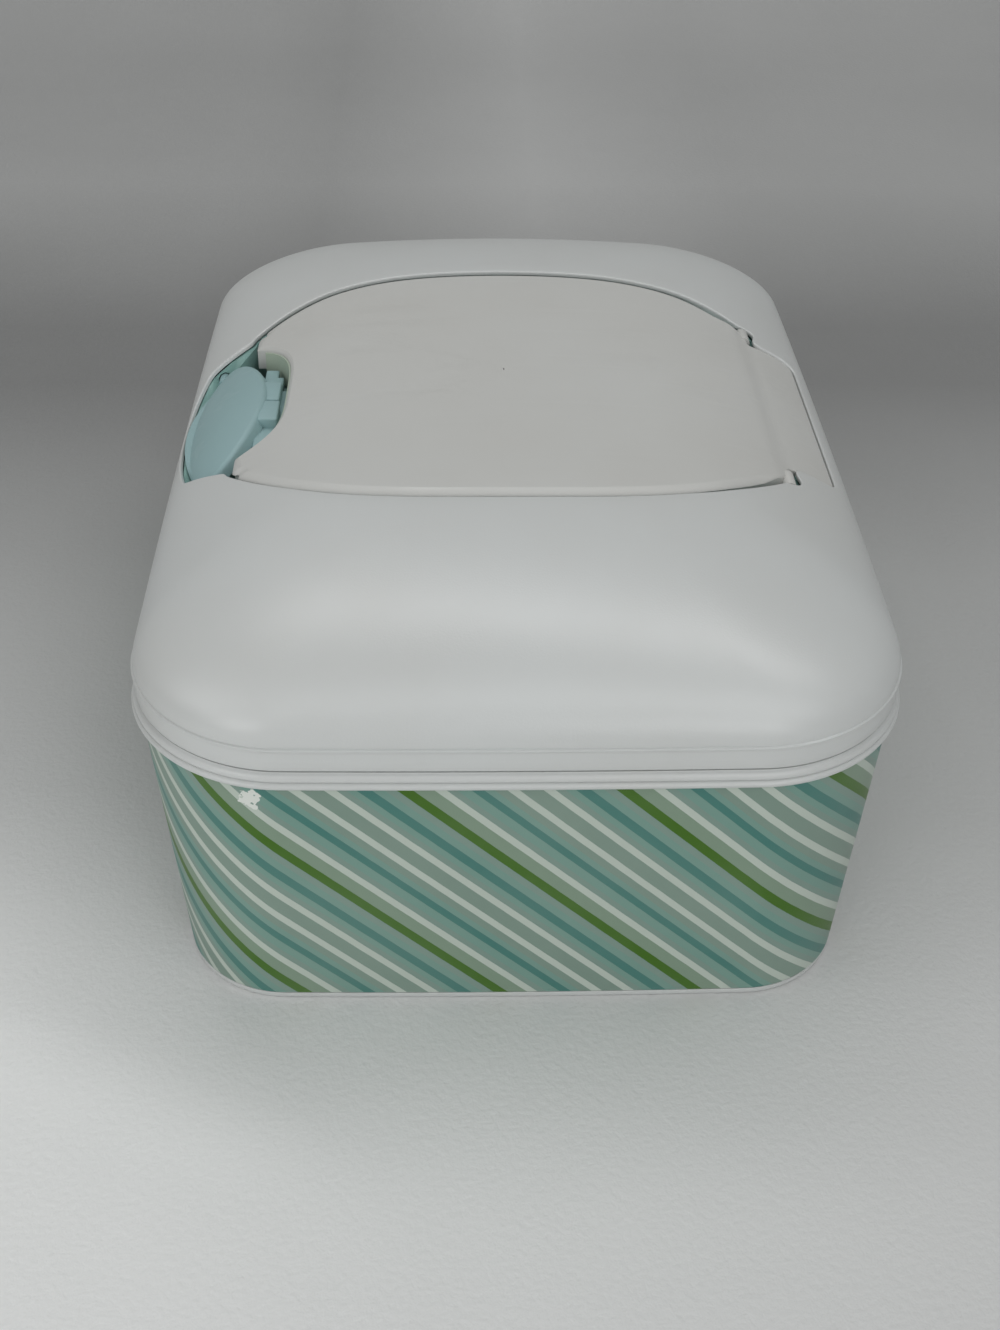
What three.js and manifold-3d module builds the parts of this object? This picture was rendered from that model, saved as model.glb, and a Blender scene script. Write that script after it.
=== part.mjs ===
// A wipes container: a drafted tub with a striped sleeve, a domed lift-off lid, and in the lid
// a soft dispensing mouth under a hinged cover that a push button lets go.
// Millimetres, Z up. X runs along the container, the button faces -Y and the hinge is at +Y.
import * as THREE from "three";
import { mergeVertices } from "three/addons/utils/BufferGeometryUtils.js";
import Module from "manifold-3d";

const wasm = await Module();
wasm.setup();

// Container, seen from above.
const lidLength = 196.4;
const lidWidth = 138;
const lidCorner = 28.5;
const sideBow = 0.9;

// General walls and gaps.
const gap = 0.3;
const overrun = 30;
const lidWall = 1.6;
const tubWall = 2;

// Tub.
const wallTopZ = 55.7;
const tubDraft = 4.5;
const footCorner = 19.2;
const footWidth = 3;
const footRecess = 1.2;
const footRound = 0.9;
const floorWall = 1.8;
const wallTopInset = 1.4;
const flangeHeight = 3.5;
const flangeTopInset = 0.9;
const beadDepth = 0.6;
const neckHeight = 3.4;
const neckWall = 1;
const snapBead = 0.25;
const leadIn = 0.4;

// Printed sleeve round the tub.
const sleeveThickness = 0.25;
const sleeveFootMargin = 1.8;
const sleeveTopMargin = 0.5;

// Lid skirt, with the inner wall that plugs into the tub.
const skirtHeight = 4.8;
const skirtInset = 0.9;
const skirtWall = 1.2;
const raisedLine = 0.4;
const raisedLineHeight = 0.8;
const plugWall = 1;
const plugDepth = 2.4;
const sealHeight = 1.5;
const sealRound = 0.3;

// Lid dome: a rounded shoulder that rises to a crown.
const domeRise = 20;
const shoulderLength = 59.5;
const shoulderWidth = 41.3;
const shoulderPower = 2.2;
const crownShare = 0.31;
const cornerEaseShare = 0.61;
const smallestCorner = 4;

// Hinged cover.
const coverHalfLength = 48.6;
const coverEndHalfLength = 29.9;
const coverEdgeMargin = 15.5;
const coverWall = 1.6;
const coverRimWall = 1.4;
const coverRimDepth = 5;
const barrelPowerShare = 0.26;
const notchHalfLength = 24;
const notchDepth = 9.2;
const notchPower = 4;

// Hinge: stubs on the cover turn in ears on the dispenser frame, and a tail reaches past them.
const hingeSetback = 0.8;
const hingeDrop = 1.6;
const hingeEdge = 0.6;
const hingeTurnRoom = 1.4;
const stubRadius = 1.4;
const stubReach = 3.4;
const earOut = 1.3;
const earRadius = 3.4;
const tailHalfLength = 27;
const tailReach = 10.7;
const tailRecess = 0.3;
const tailCorner = 3;
const creaseRadius = 9;
const creaseDepth = 0.35;
const openAngle = 100;

// Dispenser frame under the lid.
const coverGap = 0.6;
const frameWall = 1.1;
const lipDrop = 1.4;
const edgeSkin = 0.9;
const swingBack = 1.8;
const flangeReach = 6.5;
const frameFlange = 1.5;
const trayFloorZ = 67;
const trayFloor = 1.5;
const wellRoom = 0.5;

// Posts of the lid that hold the frame by their spread heads.
const postRadius = 1.3;
const headRadius = 2.3;
const headHeight = 1;
const sidePostShare = 0.41;
const rearPostShare = 0.8;

// Collar, its soft seal, and the soft mouth in the tray floor.
const collarHalfLength = 38;
const collarWidthShare = 0.75;
const collarCorner = 20;
const collarWall = 1.6;
const collarHeight = 7.2;
const sealWidth = 2.4;
const collarSealHeight = 2.2;
const seatHalfLength = 30;
const seatWidthShare = 0.53;
const seatCorner = 15;
const mouthLip = 3;
const mouthThickness = 0.8;
const mouthHalfLength = 22;
const mouthWidthShare = 0.125;
const mouthFunnel = 1.6;

// Inner plate of the cover, with the catch plate that drops behind the button's tongue.
const linerHalfLength = 41;
const linerEdgeMargin = 17.5;
const linerCorner = 16;
const linerPlate = 1.2;
const linerRimWall = 1.2;
const catchHalfLength = 14;
const catchThickness = 1.4;
const catchDepth = 9.3;
const noseLength = 4.4;
const noseHeight = 1.4;
const noseReach = 2;

// Release button on the front slope, drawn in its own tilted plane.
const buttonEdgeMargin = 11;
const buttonTilt = 33;
const buttonShape = {
  halfLength: 24, tipRise: -2.5, topRise: 9.2, bellPower: 0.5,
  lowHalfLength: 22.5, lowDrop: 6.5, footDrop: 10.6,
};
const pocketShape = {
  halfLength: 27.9, tipRise: 3, topRise: 9.3, bellPower: 1.3,
  lowHalfLength: 23.3, lowDrop: 6.5, footDrop: 11,
};
const buttonCrownHalfLength = 36;
const buttonCrownHalfWidth = 14;
const buttonCrownHeight = 8;
const buttonProud = 0.4;
const buttonCrownShift = 1;
const buttonWall = 1.7;
const buttonRimWall = 1.4;
const buttonRimDepth = 4.2;
const buttonGap = 0.5;
const pocketFloorRise = 1.3;
const pivotOut = 3;
const pivotDrop = 5.4;
const pivotRadius = 1.1;
const pivotReach = 2.6;
const tongueHalfLength = 8.5;
const tongueThickness = 1.6;
const tongueRoot = 8.2;
const ledgeHalfLength = 6.4;
const ledgeThickness = 1.4;
const ledgeWidth = 2.5;

// Coil spring under the button's tongue.
const springRadius = 2.2;
const springWire = 0.55;
const springTurns = 4;
const springEaseShare = 0.3;
const spigotRadius = 1.3;
const spigotHeight = 1.6;
const springSetback = 8;

// Facet counts.
const cornerSteps = 5;
const sideSteps = 4;
const domeSteps = 7;
const crownShares = [0.6, 0.1];
const roundSides = 9;
const wellSides = 40;
const edgeSteps = 14;
const coilSteps = 9;
const coilSides = 5;
const weldDistance = 1e-4;

// Derived places.
const quarterTurn = Math.PI / 2;
const halfLength = lidLength / 2;
const halfWidth = lidWidth / 2;
const flangeTopZ = wallTopZ + flangeHeight;
const neckTopZ = flangeTopZ + neckHeight;
const skirtBottomZ = flangeTopZ + gap;
const domeBaseZ = skirtBottomZ + skirtHeight;
const domeInset = skirtInset + gap / 2;
const domeHalfLength = halfLength - domeInset;
const domeHalfWidth = halfWidth - domeInset;
const skirtInnerInset = skirtInset + skirtWall;
const neckOuterInset = skirtInnerInset + gap;
const neckInnerInset = neckOuterInset + neckWall;
const plugOuterInset = neckInnerInset + gap;
const plugInnerInset = plugOuterInset + plugWall;
const channelRoofZ = neckTopZ + sealHeight + 2 * gap;
const sleeveStandOff = sleeveThickness + gap;
const sleeveBottomZ = sleeveFootMargin;
const sleeveTopZ = wallTopZ - sleeveTopMargin;
const hollowGrow = coverGap;
const lipGrow = hollowGrow + frameWall;
const cutGrow = lipGrow + gap;
const trayUnderZ = trayFloorZ - trayFloor;
const pocketFloorZ = trayFloorZ + pocketFloorRise;
const pocketUnderZ = pocketFloorZ - frameWall - gap;
const collarTopZ = trayFloorZ + collarHeight;
const linerUnderZ = collarTopZ + collarSealHeight + 2 * gap;
const coverFront = halfWidth - coverEdgeMargin;
const hingeY = coverFront - hingeSetback;
const buttonY = buttonEdgeMargin - halfWidth;
const springY = buttonY + springSetback;
const linerHalfWidth = coverFront - linerEdgeMargin;
const collarHalfWidth = linerHalfWidth * collarWidthShare;
const seatHalfWidth = linerHalfWidth * seatWidthShare;
const mouthHalfWidth = linerHalfWidth * mouthWidthShare;
const coverRear = hingeY + hingeEdge;
const tailEnd = hingeY + tailReach;

// Colours as the photograph shows them.
const white = [0.83, 0.85, 0.83];
const warmWhite = [0.8, 0.8, 0.78];
const teal = [0.42, 0.58, 0.57];
const softTeal = [0.36, 0.53, 0.52];
const sleeveGreen = [0.47, 0.58, 0.54];
const clearGrey = [0.75, 0.77, 0.72];
const steel = [0.68, 0.69, 0.7];

// Closed outline with round corners and slightly bowed sides, anticlockwise from above.
function roundedPlan(alongX, alongY, corner, bow) {
  const radius = Math.min(corner, alongX, alongY);
  const quarters = [[1, 1], [-1, 1], [-1, -1], [1, -1]];
  const arcs = quarters.map(([signX, signY], quarter) =>
    Array.from({ length: cornerSteps + 1 }, (_, step) => {
      const turn = (quarter + step / cornerSteps) * quarterTurn;
      return new THREE.Vector2(
        signX * (alongX - radius) + radius * Math.cos(turn),
        signY * (alongY - radius) + radius * Math.sin(turn),
      );
    }),
  );
  const points = [];
  arcs.forEach((arc, quarter) => {
    points.push(...arc);
    const next = arcs[(quarter + 1) % arcs.length][0];
    const last = arc[arc.length - 1];
    for (let step = 1; step < sideSteps; step++)
      points.push(last.clone().lerp(next, step / sideSteps));
  });
  return points.map(({ x, y }) => new THREE.Vector2(
    x - Math.sign(x) * bow * (y / alongY) ** 2,
    y - Math.sign(y) * bow * (x / alongX) ** 2,
  ));
}

// One level ring of the container, a given inset inside its largest outline.
function ring(inset, z, corner = lidCorner - inset) {
  return roundedPlan(halfLength - inset, halfWidth - inset, corner, sideBow)
    .map(({ x, y }) => new THREE.Vector3(x, y, z));
}

// Skin through rings of equal count, capped at both ends, or joined end to end.
function loft(rings, endToEnd = false) {
  const count = rings[0].length;
  const corners = rings.flat().flatMap((point) => point.toArray());
  const faces = [];
  const levels = endToEnd ? rings.length : rings.length - 1;
  for (let level = 0; level < levels; level++) {
    const lower = level * count;
    const upper = ((level + 1) % rings.length) * count;
    for (let side = 0; side < count; side++) {
      const next = (side + 1) % count;
      faces.push(lower + side, lower + next, upper + next);
      faces.push(lower + side, upper + next, upper + side);
    }
  }
  if (!endToEnd) faces.push(...endCaps(rings));
  const geometry = new THREE.BufferGeometry();
  geometry.setAttribute("position", new THREE.Float32BufferAttribute(corners, 3));
  geometry.setIndex(faces);
  return geometry;
}

// Faces that close the first ring, turned over, and the last ring.
function endCaps(rings) {
  const last = (rings.length - 1) * rings[0].length;
  const flat = (points) => points.map(({ x, y }) => new THREE.Vector2(x, y));
  const first = THREE.ShapeUtils.triangulateShape(flat(rings[0]), []);
  const end = THREE.ShapeUtils.triangulateShape(flat(rings[rings.length - 1]), []);
  return [
    ...first.flatMap(([a, b, c]) => [c, b, a]),
    ...end.flatMap(([a, b, c]) => [last + a, last + b, last + c]),
  ];
}

// Closed geometry as a solid that can be cut and joined.
function solidOf(geometry) {
  const bare = geometry.clone();
  bare.deleteAttribute("normal");
  bare.deleteAttribute("uv");
  const merged = mergeVertices(bare, weldDistance);
  return new wasm.Manifold(new wasm.Mesh({
    numProp: 3,
    vertProperties: merged.attributes.position.array,
    triVerts: new Uint32Array(merged.index.array),
  }));
}

function geometryOf(solid) {
  const mesh = solid.getMesh();
  const geometry = new THREE.BufferGeometry();
  geometry.setAttribute("position", new THREE.BufferAttribute(mesh.vertProperties, mesh.numProp));
  geometry.setIndex(new THREE.BufferAttribute(mesh.triVerts, 1));
  return geometry;
}

const join = (...solids) => solids.reduce((whole, solid) => whole.add(solid));
const cut = (whole, ...tools) => tools.reduce((rest, tool) => rest.subtract(tool), whole);
const common = (...solids) => solids.reduce((whole, solid) => whole.intersect(solid));

function box([lowX, lowY, lowZ], [highX, highY, highZ]) {
  const geometry = new THREE.BoxGeometry(highX - lowX, highY - lowY, highZ - lowZ);
  geometry.translate((lowX + highX) / 2, (lowY + highY) / 2, (lowZ + highZ) / 2);
  return solidOf(geometry);
}

// Straight prism of a closed outline between two heights.
function prism(outline, lowZ, highZ) {
  const geometry = new THREE.ExtrudeGeometry(new THREE.Shape(outline), {
    depth: highZ - lowZ,
    bevelEnabled: false,
  });
  geometry.translate(0, 0, lowZ);
  return solidOf(geometry);
}

// Round bar along X between two places.
function barAlongX(radius, lowX, highX, y, z, sides = roundSides) {
  const geometry = new THREE.CylinderGeometry(radius, radius, highX - lowX, sides);
  geometry.rotateZ(quarterTurn);
  geometry.translate((lowX + highX) / 2, y, z);
  return solidOf(geometry);
}

function barAlongZ(radius, x, y, lowZ, highZ) {
  const geometry = new THREE.CylinderGeometry(radius, radius, highZ - lowZ, roundSides);
  geometry.rotateX(quarterTurn);
  geometry.translate(x, y, (lowZ + highZ) / 2);
  return solidOf(geometry);
}

// Outline moved outward by a distance, or inward where it is negative.
function grown(outline, distance) {
  const count = outline.length;
  return outline.map((point, index) => {
    const before = point.clone().sub(outline[(index + count - 1) % count]).normalize();
    const after = outline[(index + 1) % count].clone().sub(point).normalize();
    const along = before.add(after).normalize();
    const spread = Math.max(along.dot(after), 1 / 2);
    return new THREE.Vector2(
      point.x + (along.y * distance) / spread,
      point.y - (along.x * distance) / spread,
    );
  });
}

// Height of the dome over a place, from the same curve as its rings.
function domeHeight(x, y) {
  const alongX = (Math.abs(x) - domeHalfLength + shoulderLength) / shoulderLength;
  const alongY = (Math.abs(y) - domeHalfWidth + shoulderWidth) / shoulderWidth;
  const out = Math.min(Math.max(alongX, alongY, 0), 1);
  const up = (1 - out ** shoulderPower) ** (1 / shoulderPower);
  return domeBaseZ + domeRise * up * crownAt(y);
}

const crownAt = (y) => 1 - crownShare * (y / halfWidth) ** 2;

// One ring of the dome. The swing goes from zero at its foot to a quarter turn at the crown.
function domeRing(swing, inset, drop, share = 1) {
  const inward = 1 - Math.cos(swing) ** (2 / shoulderPower);
  const up = Math.sin(swing) ** (2 / shoulderPower);
  const corner = Math.max((lidCorner - domeInset - inset) * (1 - cornerEaseShare * inward),
    smallestCorner);
  return roundedPlan(
    (domeHalfLength - inset - shoulderLength * inward) * share,
    (domeHalfWidth - inset - shoulderWidth * inward) * share,
    corner * share,
    sideBow * share,
  ).map(({ x, y }) => new THREE.Vector3(x, y,
    domeBaseZ - drop + domeRise * up * crownAt(y)));
}

// Rings of the dome from a first swing up to the crown, and on to its middle.
function domeRings(inset, drop, firstSwing = 0) {
  const rings = [];
  for (let step = 0; step <= domeSteps; step++)
    rings.push(domeRing(firstSwing + (quarterTurn - firstSwing) * (step / domeSteps), inset, drop));
  crownShares.forEach((share) => rings.push(domeRing(quarterTurn, inset, drop, share)));
  return rings;
}

// Solid under the dome, moved in and down, with straight sides to a floor.
function domeSolid(inset, drop, floorZ) {
  const foot = domeRing(0, inset, drop).map(({ x, y }) => new THREE.Vector3(x, y, floorZ));
  return solidOf(loft([foot, ...domeRings(inset, drop)]));
}

// Inset of the tub's drafted wall at a height.
const wallInset = (z) => wallTopInset + tubDraft * (1 - z / wallTopZ);
const wallCorner = (z) => footCorner
  + (lidCorner - wallTopInset - footCorner) * (z / wallTopZ);
const wallRing = (z, inward) => ring(wallInset(z) + inward, z, wallCorner(z) - inward);

function tubShell() {
  const footInner = wallInset(0) + footRound + footWidth;
  const outside = [
    ring(footInner, footRecess, footCorner - footRound),
    ring(footInner, 0, footCorner - footRound),
    ring(wallInset(0) + footRound, 0, footCorner - footRound),
    wallRing(footRound, 0),
    wallRing(sleeveBottomZ - gap, 0),
    wallRing(sleeveBottomZ - gap, sleeveStandOff),
    wallRing(sleeveTopZ + gap, sleeveStandOff),
    wallRing(sleeveTopZ + gap, 0),
  ];
  const bead = flangeHeight / 5;
  const flange = [
    ring(wallTopInset, wallTopZ),
    ring(beadDepth / 2, wallTopZ + bead / 4),
    ring(0, wallTopZ + bead),
    ring(beadDepth / 2, wallTopZ + 2 * bead),
    ring(beadDepth, wallTopZ + 2 * bead + bead / 2),
    ring(beadDepth / 2, wallTopZ + 3 * bead),
    ring(beadDepth / 2, wallTopZ + 4 * bead),
    ring(flangeTopInset, flangeTopZ),
  ];
  const neck = [
    ring(neckOuterInset, flangeTopZ),
    ring(neckOuterInset, neckTopZ - 3 * leadIn),
    ring(neckOuterInset - snapBead, neckTopZ - 2 * leadIn),
    ring(neckOuterInset, neckTopZ - leadIn),
    ring(neckOuterInset + leadIn, neckTopZ),
    ring(neckInnerInset, neckTopZ),
  ];
  const inside = [
    ring(neckInnerInset, flangeTopZ),
    wallRing(wallTopZ, tubWall),
    wallRing(footRecess + floorWall + tubWall, tubWall),
    ring(wallInset(0) + 2 * tubWall, footRecess + floorWall, footCorner - 2 * tubWall),
  ];
  return solidOf(loft([...outside, ...flange, ...neck, ...inside]));
}

function labelSleeve() {
  return solidOf(loft([
    wallRing(sleeveBottomZ, 0),
    wallRing(sleeveTopZ, 0),
    wallRing(sleeveTopZ, sleeveThickness),
    wallRing(sleeveBottomZ, sleeveThickness),
  ], true));
}

// Swing at which the inner dome meets the plug wall.
function plugSwing() {
  const inward = (plugInnerInset - domeInset - lidWall) / shoulderWidth;
  return Math.acos((1 - inward) ** (shoulderPower / 2));
}

function lidBlank() {
  const inside = domeRings(lidWall, lidWall, plugSwing()).reverse();
  const plugBottomZ = neckTopZ - plugDepth;
  const inner = [
    ring(plugInnerInset, plugBottomZ),
    ring(plugOuterInset, plugBottomZ),
    ring(plugOuterInset, channelRoofZ),
    ring(skirtInnerInset, channelRoofZ),
    ring(skirtInnerInset, skirtBottomZ),
  ];
  const lineBottomZ = domeBaseZ - raisedLineHeight;
  const outer = [
    ring(skirtInset, skirtBottomZ),
    ring(domeInset, lineBottomZ),
    ring(domeInset - raisedLine, lineBottomZ + raisedLineHeight / 4),
    ring(domeInset - raisedLine, domeBaseZ - raisedLineHeight / 4),
  ];
  return solidOf(loft([...inside, ...inner, ...outer, ...domeRings(0, 0)]));
}

// Half of the cover's length along X, which narrows from its middle to both ends.
function barrelHalf(y) {
  const out = (y / coverFront) ** 2;
  const share = out * (barrelPowerShare + (1 - barrelPowerShare) * out);
  return coverHalfLength - (coverHalfLength - coverEndHalfLength) * share;
}

// Barrel outline of the cover or of an opening for it, between its front and rear edges.
function barrel(front, rear, grow, notched = false) {
  const side = Array.from({ length: edgeSteps + 1 }, (_, step) => {
    const share = (1 - Math.cos((step / edgeSteps) * 2 * quarterTurn)) / 2;
    const y = -front + (front + rear) * share;
    return new THREE.Vector2(barrelHalf(y) + grow, y);
  });
  const otherSide = side.map(({ x, y }) => new THREE.Vector2(-x, y)).reverse();
  return [...side, ...otherSide, ...(notched ? notch(front) : [])];
}

const coverOutline = () => barrel(coverFront, coverRear, 0, true);

// Front edge of the cover, which bows back round the button.
function notch(front) {
  return Array.from({ length: edgeSteps + 1 }, (_, step) => {
    const share = (2 * step) / edgeSteps - 1;
    const back = notchDepth * (1 - Math.abs(share) ** notchPower);
    return new THREE.Vector2(share * notchHalfLength, back - front);
  });
}

// Plain outline behind the hinge, for the tail and its pocket.
function tailOutline(halfX, frontY, rearY) {
  const shape = new THREE.Shape();
  shape.moveTo(-halfX, frontY);
  shape.lineTo(halfX, frontY);
  shape.lineTo(halfX, rearY - tailCorner);
  shape.quadraticCurveTo(halfX, rearY, halfX - tailCorner, rearY);
  shape.lineTo(tailCorner - halfX, rearY);
  shape.quadraticCurveTo(-halfX, rearY, -halfX, rearY - tailCorner);
  return shape.getPoints(3).slice(0, -1);
}

// Place of the tilted plane in which the button is drawn.
const tilt = THREE.MathUtils.degToRad(buttonTilt);
const buttonPlane = new THREE.Matrix4()
  .makeRotationX(tilt)
  .setPosition(0, buttonY, domeHeight(0, buttonY));

// Outline of the button or of its pocket: a bell-shaped top edge, short sides and a bowed foot.
function buttonOutline(shape) {
  const top = Array.from({ length: edgeSteps + 1 }, (_, step) => {
    const share = 1 - (2 * step) / edgeSteps;
    const bell = Math.max(Math.cos(share * quarterTurn), 0) ** shape.bellPower;
    return new THREE.Vector2(
      share * shape.halfLength,
      shape.tipRise + (shape.topRise - shape.tipRise) * bell,
    );
  });
  const foot = Array.from({ length: edgeSteps + 1 }, (_, step) => {
    const share = (2 * step) / edgeSteps - 1;
    return new THREE.Vector2(
      share * shape.lowHalfLength,
      -shape.lowDrop - (shape.footDrop - shape.lowDrop) * (1 - share ** 2),
    );
  });
  return [...top, ...foot];
}

// Prism of the button's or its pocket's outline along the tilted axis.
function tiltedPrism(shape, grow, low, high) {
  const geometry = new THREE.ExtrudeGeometry(new THREE.Shape(grown(buttonOutline(shape), grow)), {
    depth: high - low,
    bevelEnabled: false,
  });
  geometry.translate(0, 0, low);
  geometry.applyMatrix4(buttonPlane);
  return solidOf(geometry);
}

// Crowned body of the button's face, sunk by a depth.
function buttonCrown(sink) {
  const geometry = new THREE.SphereGeometry(1, 3 * roundSides, 2 * roundSides);
  geometry.rotateX(quarterTurn);
  geometry.scale(buttonCrownHalfLength, buttonCrownHalfWidth, buttonCrownHeight);
  geometry.translate(0, -buttonCrownShift, buttonProud - buttonCrownHeight - sink);
  geometry.applyMatrix4(buttonPlane);
  return solidOf(geometry);
}

const everything = (lowZ, highZ = lowZ + 4 * overrun) =>
  box([-lidLength, -lidWidth, lowZ], [lidLength, lidWidth, highZ]);

// Space through the lid for the cover, the tail and the button, grown by a wall or a gap.
function openSpace(grow, lowZ, buttonLowZ) {
  const high = lowZ + 2 * overrun;
  const main = prism(barrel(coverFront + grow, coverRear + hingeTurnRoom + grow - coverGap, grow),
    lowZ, high);
  const tail = prism(tailOutline(tailHalfLength + grow, 0, tailEnd + grow), lowZ, high);
  const button = common(
    tiltedPrism(pocketShape, grow - coverGap + buttonGap, -overrun, overrun),
    everything(buttonLowZ),
  );
  return join(main, tail, button);
}

// The same space with room for the hinge ears beside it.
function mouthSpace(grow, lowZ, buttonLowZ) {
  const ears = [-1, 1].map((side) =>
    barAlongZ(earRadius + grow - lipGrow, side * earX(), hingeY, lowZ, lowZ + overrun));
  return join(openSpace(grow, lowZ, buttonLowZ), ...ears);
}

const stubRoot = () => coverEndHalfLength + coverRimWall / 2;
const earX = () => stubRoot() + earOut;

const postPlaces = () => {
  const out = lipGrow + flangeReach / 2;
  const along = [-sidePostShare, sidePostShare, rearPostShare].map((share) => coverFront * share);
  return [-1, 1].flatMap((side) => along.map((y) => [side * (barrelHalf(y) + out), y]));
};

// Posts under the lid, each with the head that was spread under the frame's flange.
function lidPosts(grow) {
  const parts = postPlaces().map(([x, y]) => {
    const underLidZ = domeHeight(x, y) - lidWall;
    const headTopZ = underLidZ - 3 * gap - frameFlange;
    return join(
      barAlongZ(postRadius + grow, x, y, headTopZ - grow, underLidZ + lidWall / 2),
      barAlongZ(headRadius + grow, x, y, headTopZ - headHeight - grow, headTopZ),
    );
  });
  return join(...parts);
}

// Lid with its opening. Its thin top edge reaches over the frame's lip to the gap, and stands
// back at the rear, where the cover's corners swing back as it opens.
function lidShell() {
  const cutDepth = pocketUnderZ - gap;
  const underEdge = common(mouthSpace(cutGrow, cutDepth, cutDepth), domeSolid(0, edgeSkin, 0));
  const atEdge = mouthSpace(hollowGrow, cutDepth, cutDepth);
  const stubEnd = stubRoot() + stubReach + gap;
  const stubRoom = barAlongX(stubRadius + gap, -stubEnd, stubEnd, hingeY, hingeZ);
  const swingRoom = common(openSpace(hollowGrow, cutDepth, cutDepth).translate([0, swingBack, 0]),
    box([-lidLength, 0, cutDepth], [lidLength, hingeY, cutDepth + 2 * overrun]));
  return join(cut(lidBlank(), underEdge, atEdge, turningRoom(), stubRoom, swingRoom), lidPosts(0));
}

function lidSeal() {
  const outer = skirtInnerInset + gap;
  const inner = plugOuterInset - gap;
  const lowZ = neckTopZ + gap;
  const highZ = lowZ + sealHeight;
  return solidOf(loft([
    ring(outer + sealRound, lowZ),
    ring(outer, lowZ + sealRound),
    ring(outer, highZ - sealRound),
    ring(outer + sealRound, highZ),
    ring(inner, highZ),
    ring(inner, lowZ),
  ], true));
}

// Plain rounded ring round the dispensing mouth.
const mouthRing = (alongX, alongY, corner, z) => roundedPlan(alongX, alongY, corner, 0)
  .map(({ x, y }) => new THREE.Vector3(x, y, z));

// Room inside the lid that the frame may fill without touching it.
function frameRoom() {
  const aboveSeal = common(domeSolid(lidWall + gap, lidWall + gap, 0), everything(pocketUnderZ));
  const inPlug = solidOf(loft([
    ring(plugInnerInset + gap, 0),
    ring(plugInnerInset + gap, pocketUnderZ),
  ]));
  return join(aboveSeal, inPlug);
}

const hingeZ = domeHeight(0, hingeY) - hingeDrop;
const tailRadius = Math.hypot(tailReach, hingeZ - domeHeight(0, tailEnd) + tailRecess + coverWall);
const wellRadius = tailRadius + wellRoom;

// Place where the tail's lower edge stops when the cover stands fully open.
function tailStopY() {
  const drop = hingeZ - domeHeight(0, tailEnd) + tailRecess + coverWall;
  const turned = Math.atan2(-drop, tailReach) - THREE.MathUtils.degToRad(openAngle);
  return hingeY + tailRadius * Math.cos(turned) - gap;
}

// Trough round the hinge axis for the tail, ending at the stop.
function hingeWell(grow, topZ) {
  const front = tailStopY() - grow;
  const trough = barAlongX(wellRadius + grow, -tailHalfLength - hollowGrow - grow,
    tailHalfLength + hollowGrow + grow, hingeY, hingeZ, wellSides);
  return common(trough, box([-lidLength, front, 0], [lidLength, lidWidth, topZ]));
}

// Flange under the lid all round the opening.
function frameFlangePlate() {
  const outer = prism(
    barrel(coverFront + lipGrow, coverRear + hingeTurnRoom + lipGrow, lipGrow + flangeReach),
    trayFloorZ, trayFloorZ + overrun);
  const shell = cut(
    domeSolid(lidWall + gap, lidWall + gap, 0),
    domeSolid(lidWall + gap + frameFlange, lidWall + gap + frameFlange, 0),
  );
  return common(outer, shell);
}

// Two ledges that the catch noses hook under, each on a post from the tray floor.
function catchLedges() {
  const front = noseTipY() - gap - ledgeWidth;
  const back = noseTipY() - gap;
  const top = ledgeTopZ();
  return [-1, 1].map((side) => {
    const near = tongueHalfLength + coverGap;
    const far = near + ledgeHalfLength;
    const low = Math.min(side * near, side * far);
    const high = Math.max(side * near, side * far);
    const bar = box([low, front, top - ledgeThickness], [high, back, top]);
    const postLow = Math.min(side * (far - ledgeWidth), side * far);
    const postHigh = Math.max(side * (far - ledgeWidth), side * far);
    const post = box([postLow, front, trayUnderZ], [postHigh, back, top]);
    const web = box([low, front, trayUnderZ], [high, front + frameWall, top]);
    return join(bar, post, web);
  });
}

const noseTipY = () => notchBackY() + coverRimWall + gap - noseReach;
const notchBackY = () => notchDepth - coverFront;
const catchFrontY = () => notchBackY() + coverRimWall + gap;
const noseTopZ = () => linerUnderZ + linerPlate - catchDepth + noseHeight;
const ledgeTopZ = () => noseTopZ() + gap + ledgeThickness;

// Round room about the hinge axis in which the cover's rear corners turn.
function turningRoom() {
  const reach = barrelHalf(hingeY - hingeDrop / 2) + coverGap;
  const radius = Math.hypot(hingeEdge, hingeDrop) + 2 * gap;
  return barAlongX(radius, -reach, reach, hingeY, hingeZ, wellSides);
}

function dispenserFrame() {
  const tops = domeSolid(0, lipDrop, 0);
  const outer = common(mouthSpace(lipGrow, trayUnderZ, pocketUnderZ), tops);
  const well = hingeWell(frameWall, trayFloorZ);
  const hollow = openSpace(hollowGrow, trayFloorZ, pocketFloorZ);
  const body = cut(
    join(outer, frameFlangePlate(), well),
    hollow,
    hingeWell(0, trayFloorZ + overrun),
    turningRoom(),
  );
  const withFittings = join(body, collarOf(), ...catchLedges(), springSpigot());
  const bores = [
    barAlongX(stubRadius + gap, -lidLength, lidLength, hingeY, hingeZ),
    barAlongX(pivotRadius + gap, -pivotTip() - gap, pivotTip() + gap, pivotY(), pivotZ()),
    solidOf(loft([
      mouthRing(seatHalfLength, seatHalfWidth, seatCorner, 0),
      mouthRing(seatHalfLength, seatHalfWidth, seatCorner, trayFloorZ + trayFloor),
    ])),
  ];
  const allowed = join(frameRoom(), mouthSpace(lipGrow, pocketUnderZ, pocketUnderZ));
  return common(cut(withFittings, ...bores, lidPosts(gap)), allowed);
}

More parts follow.
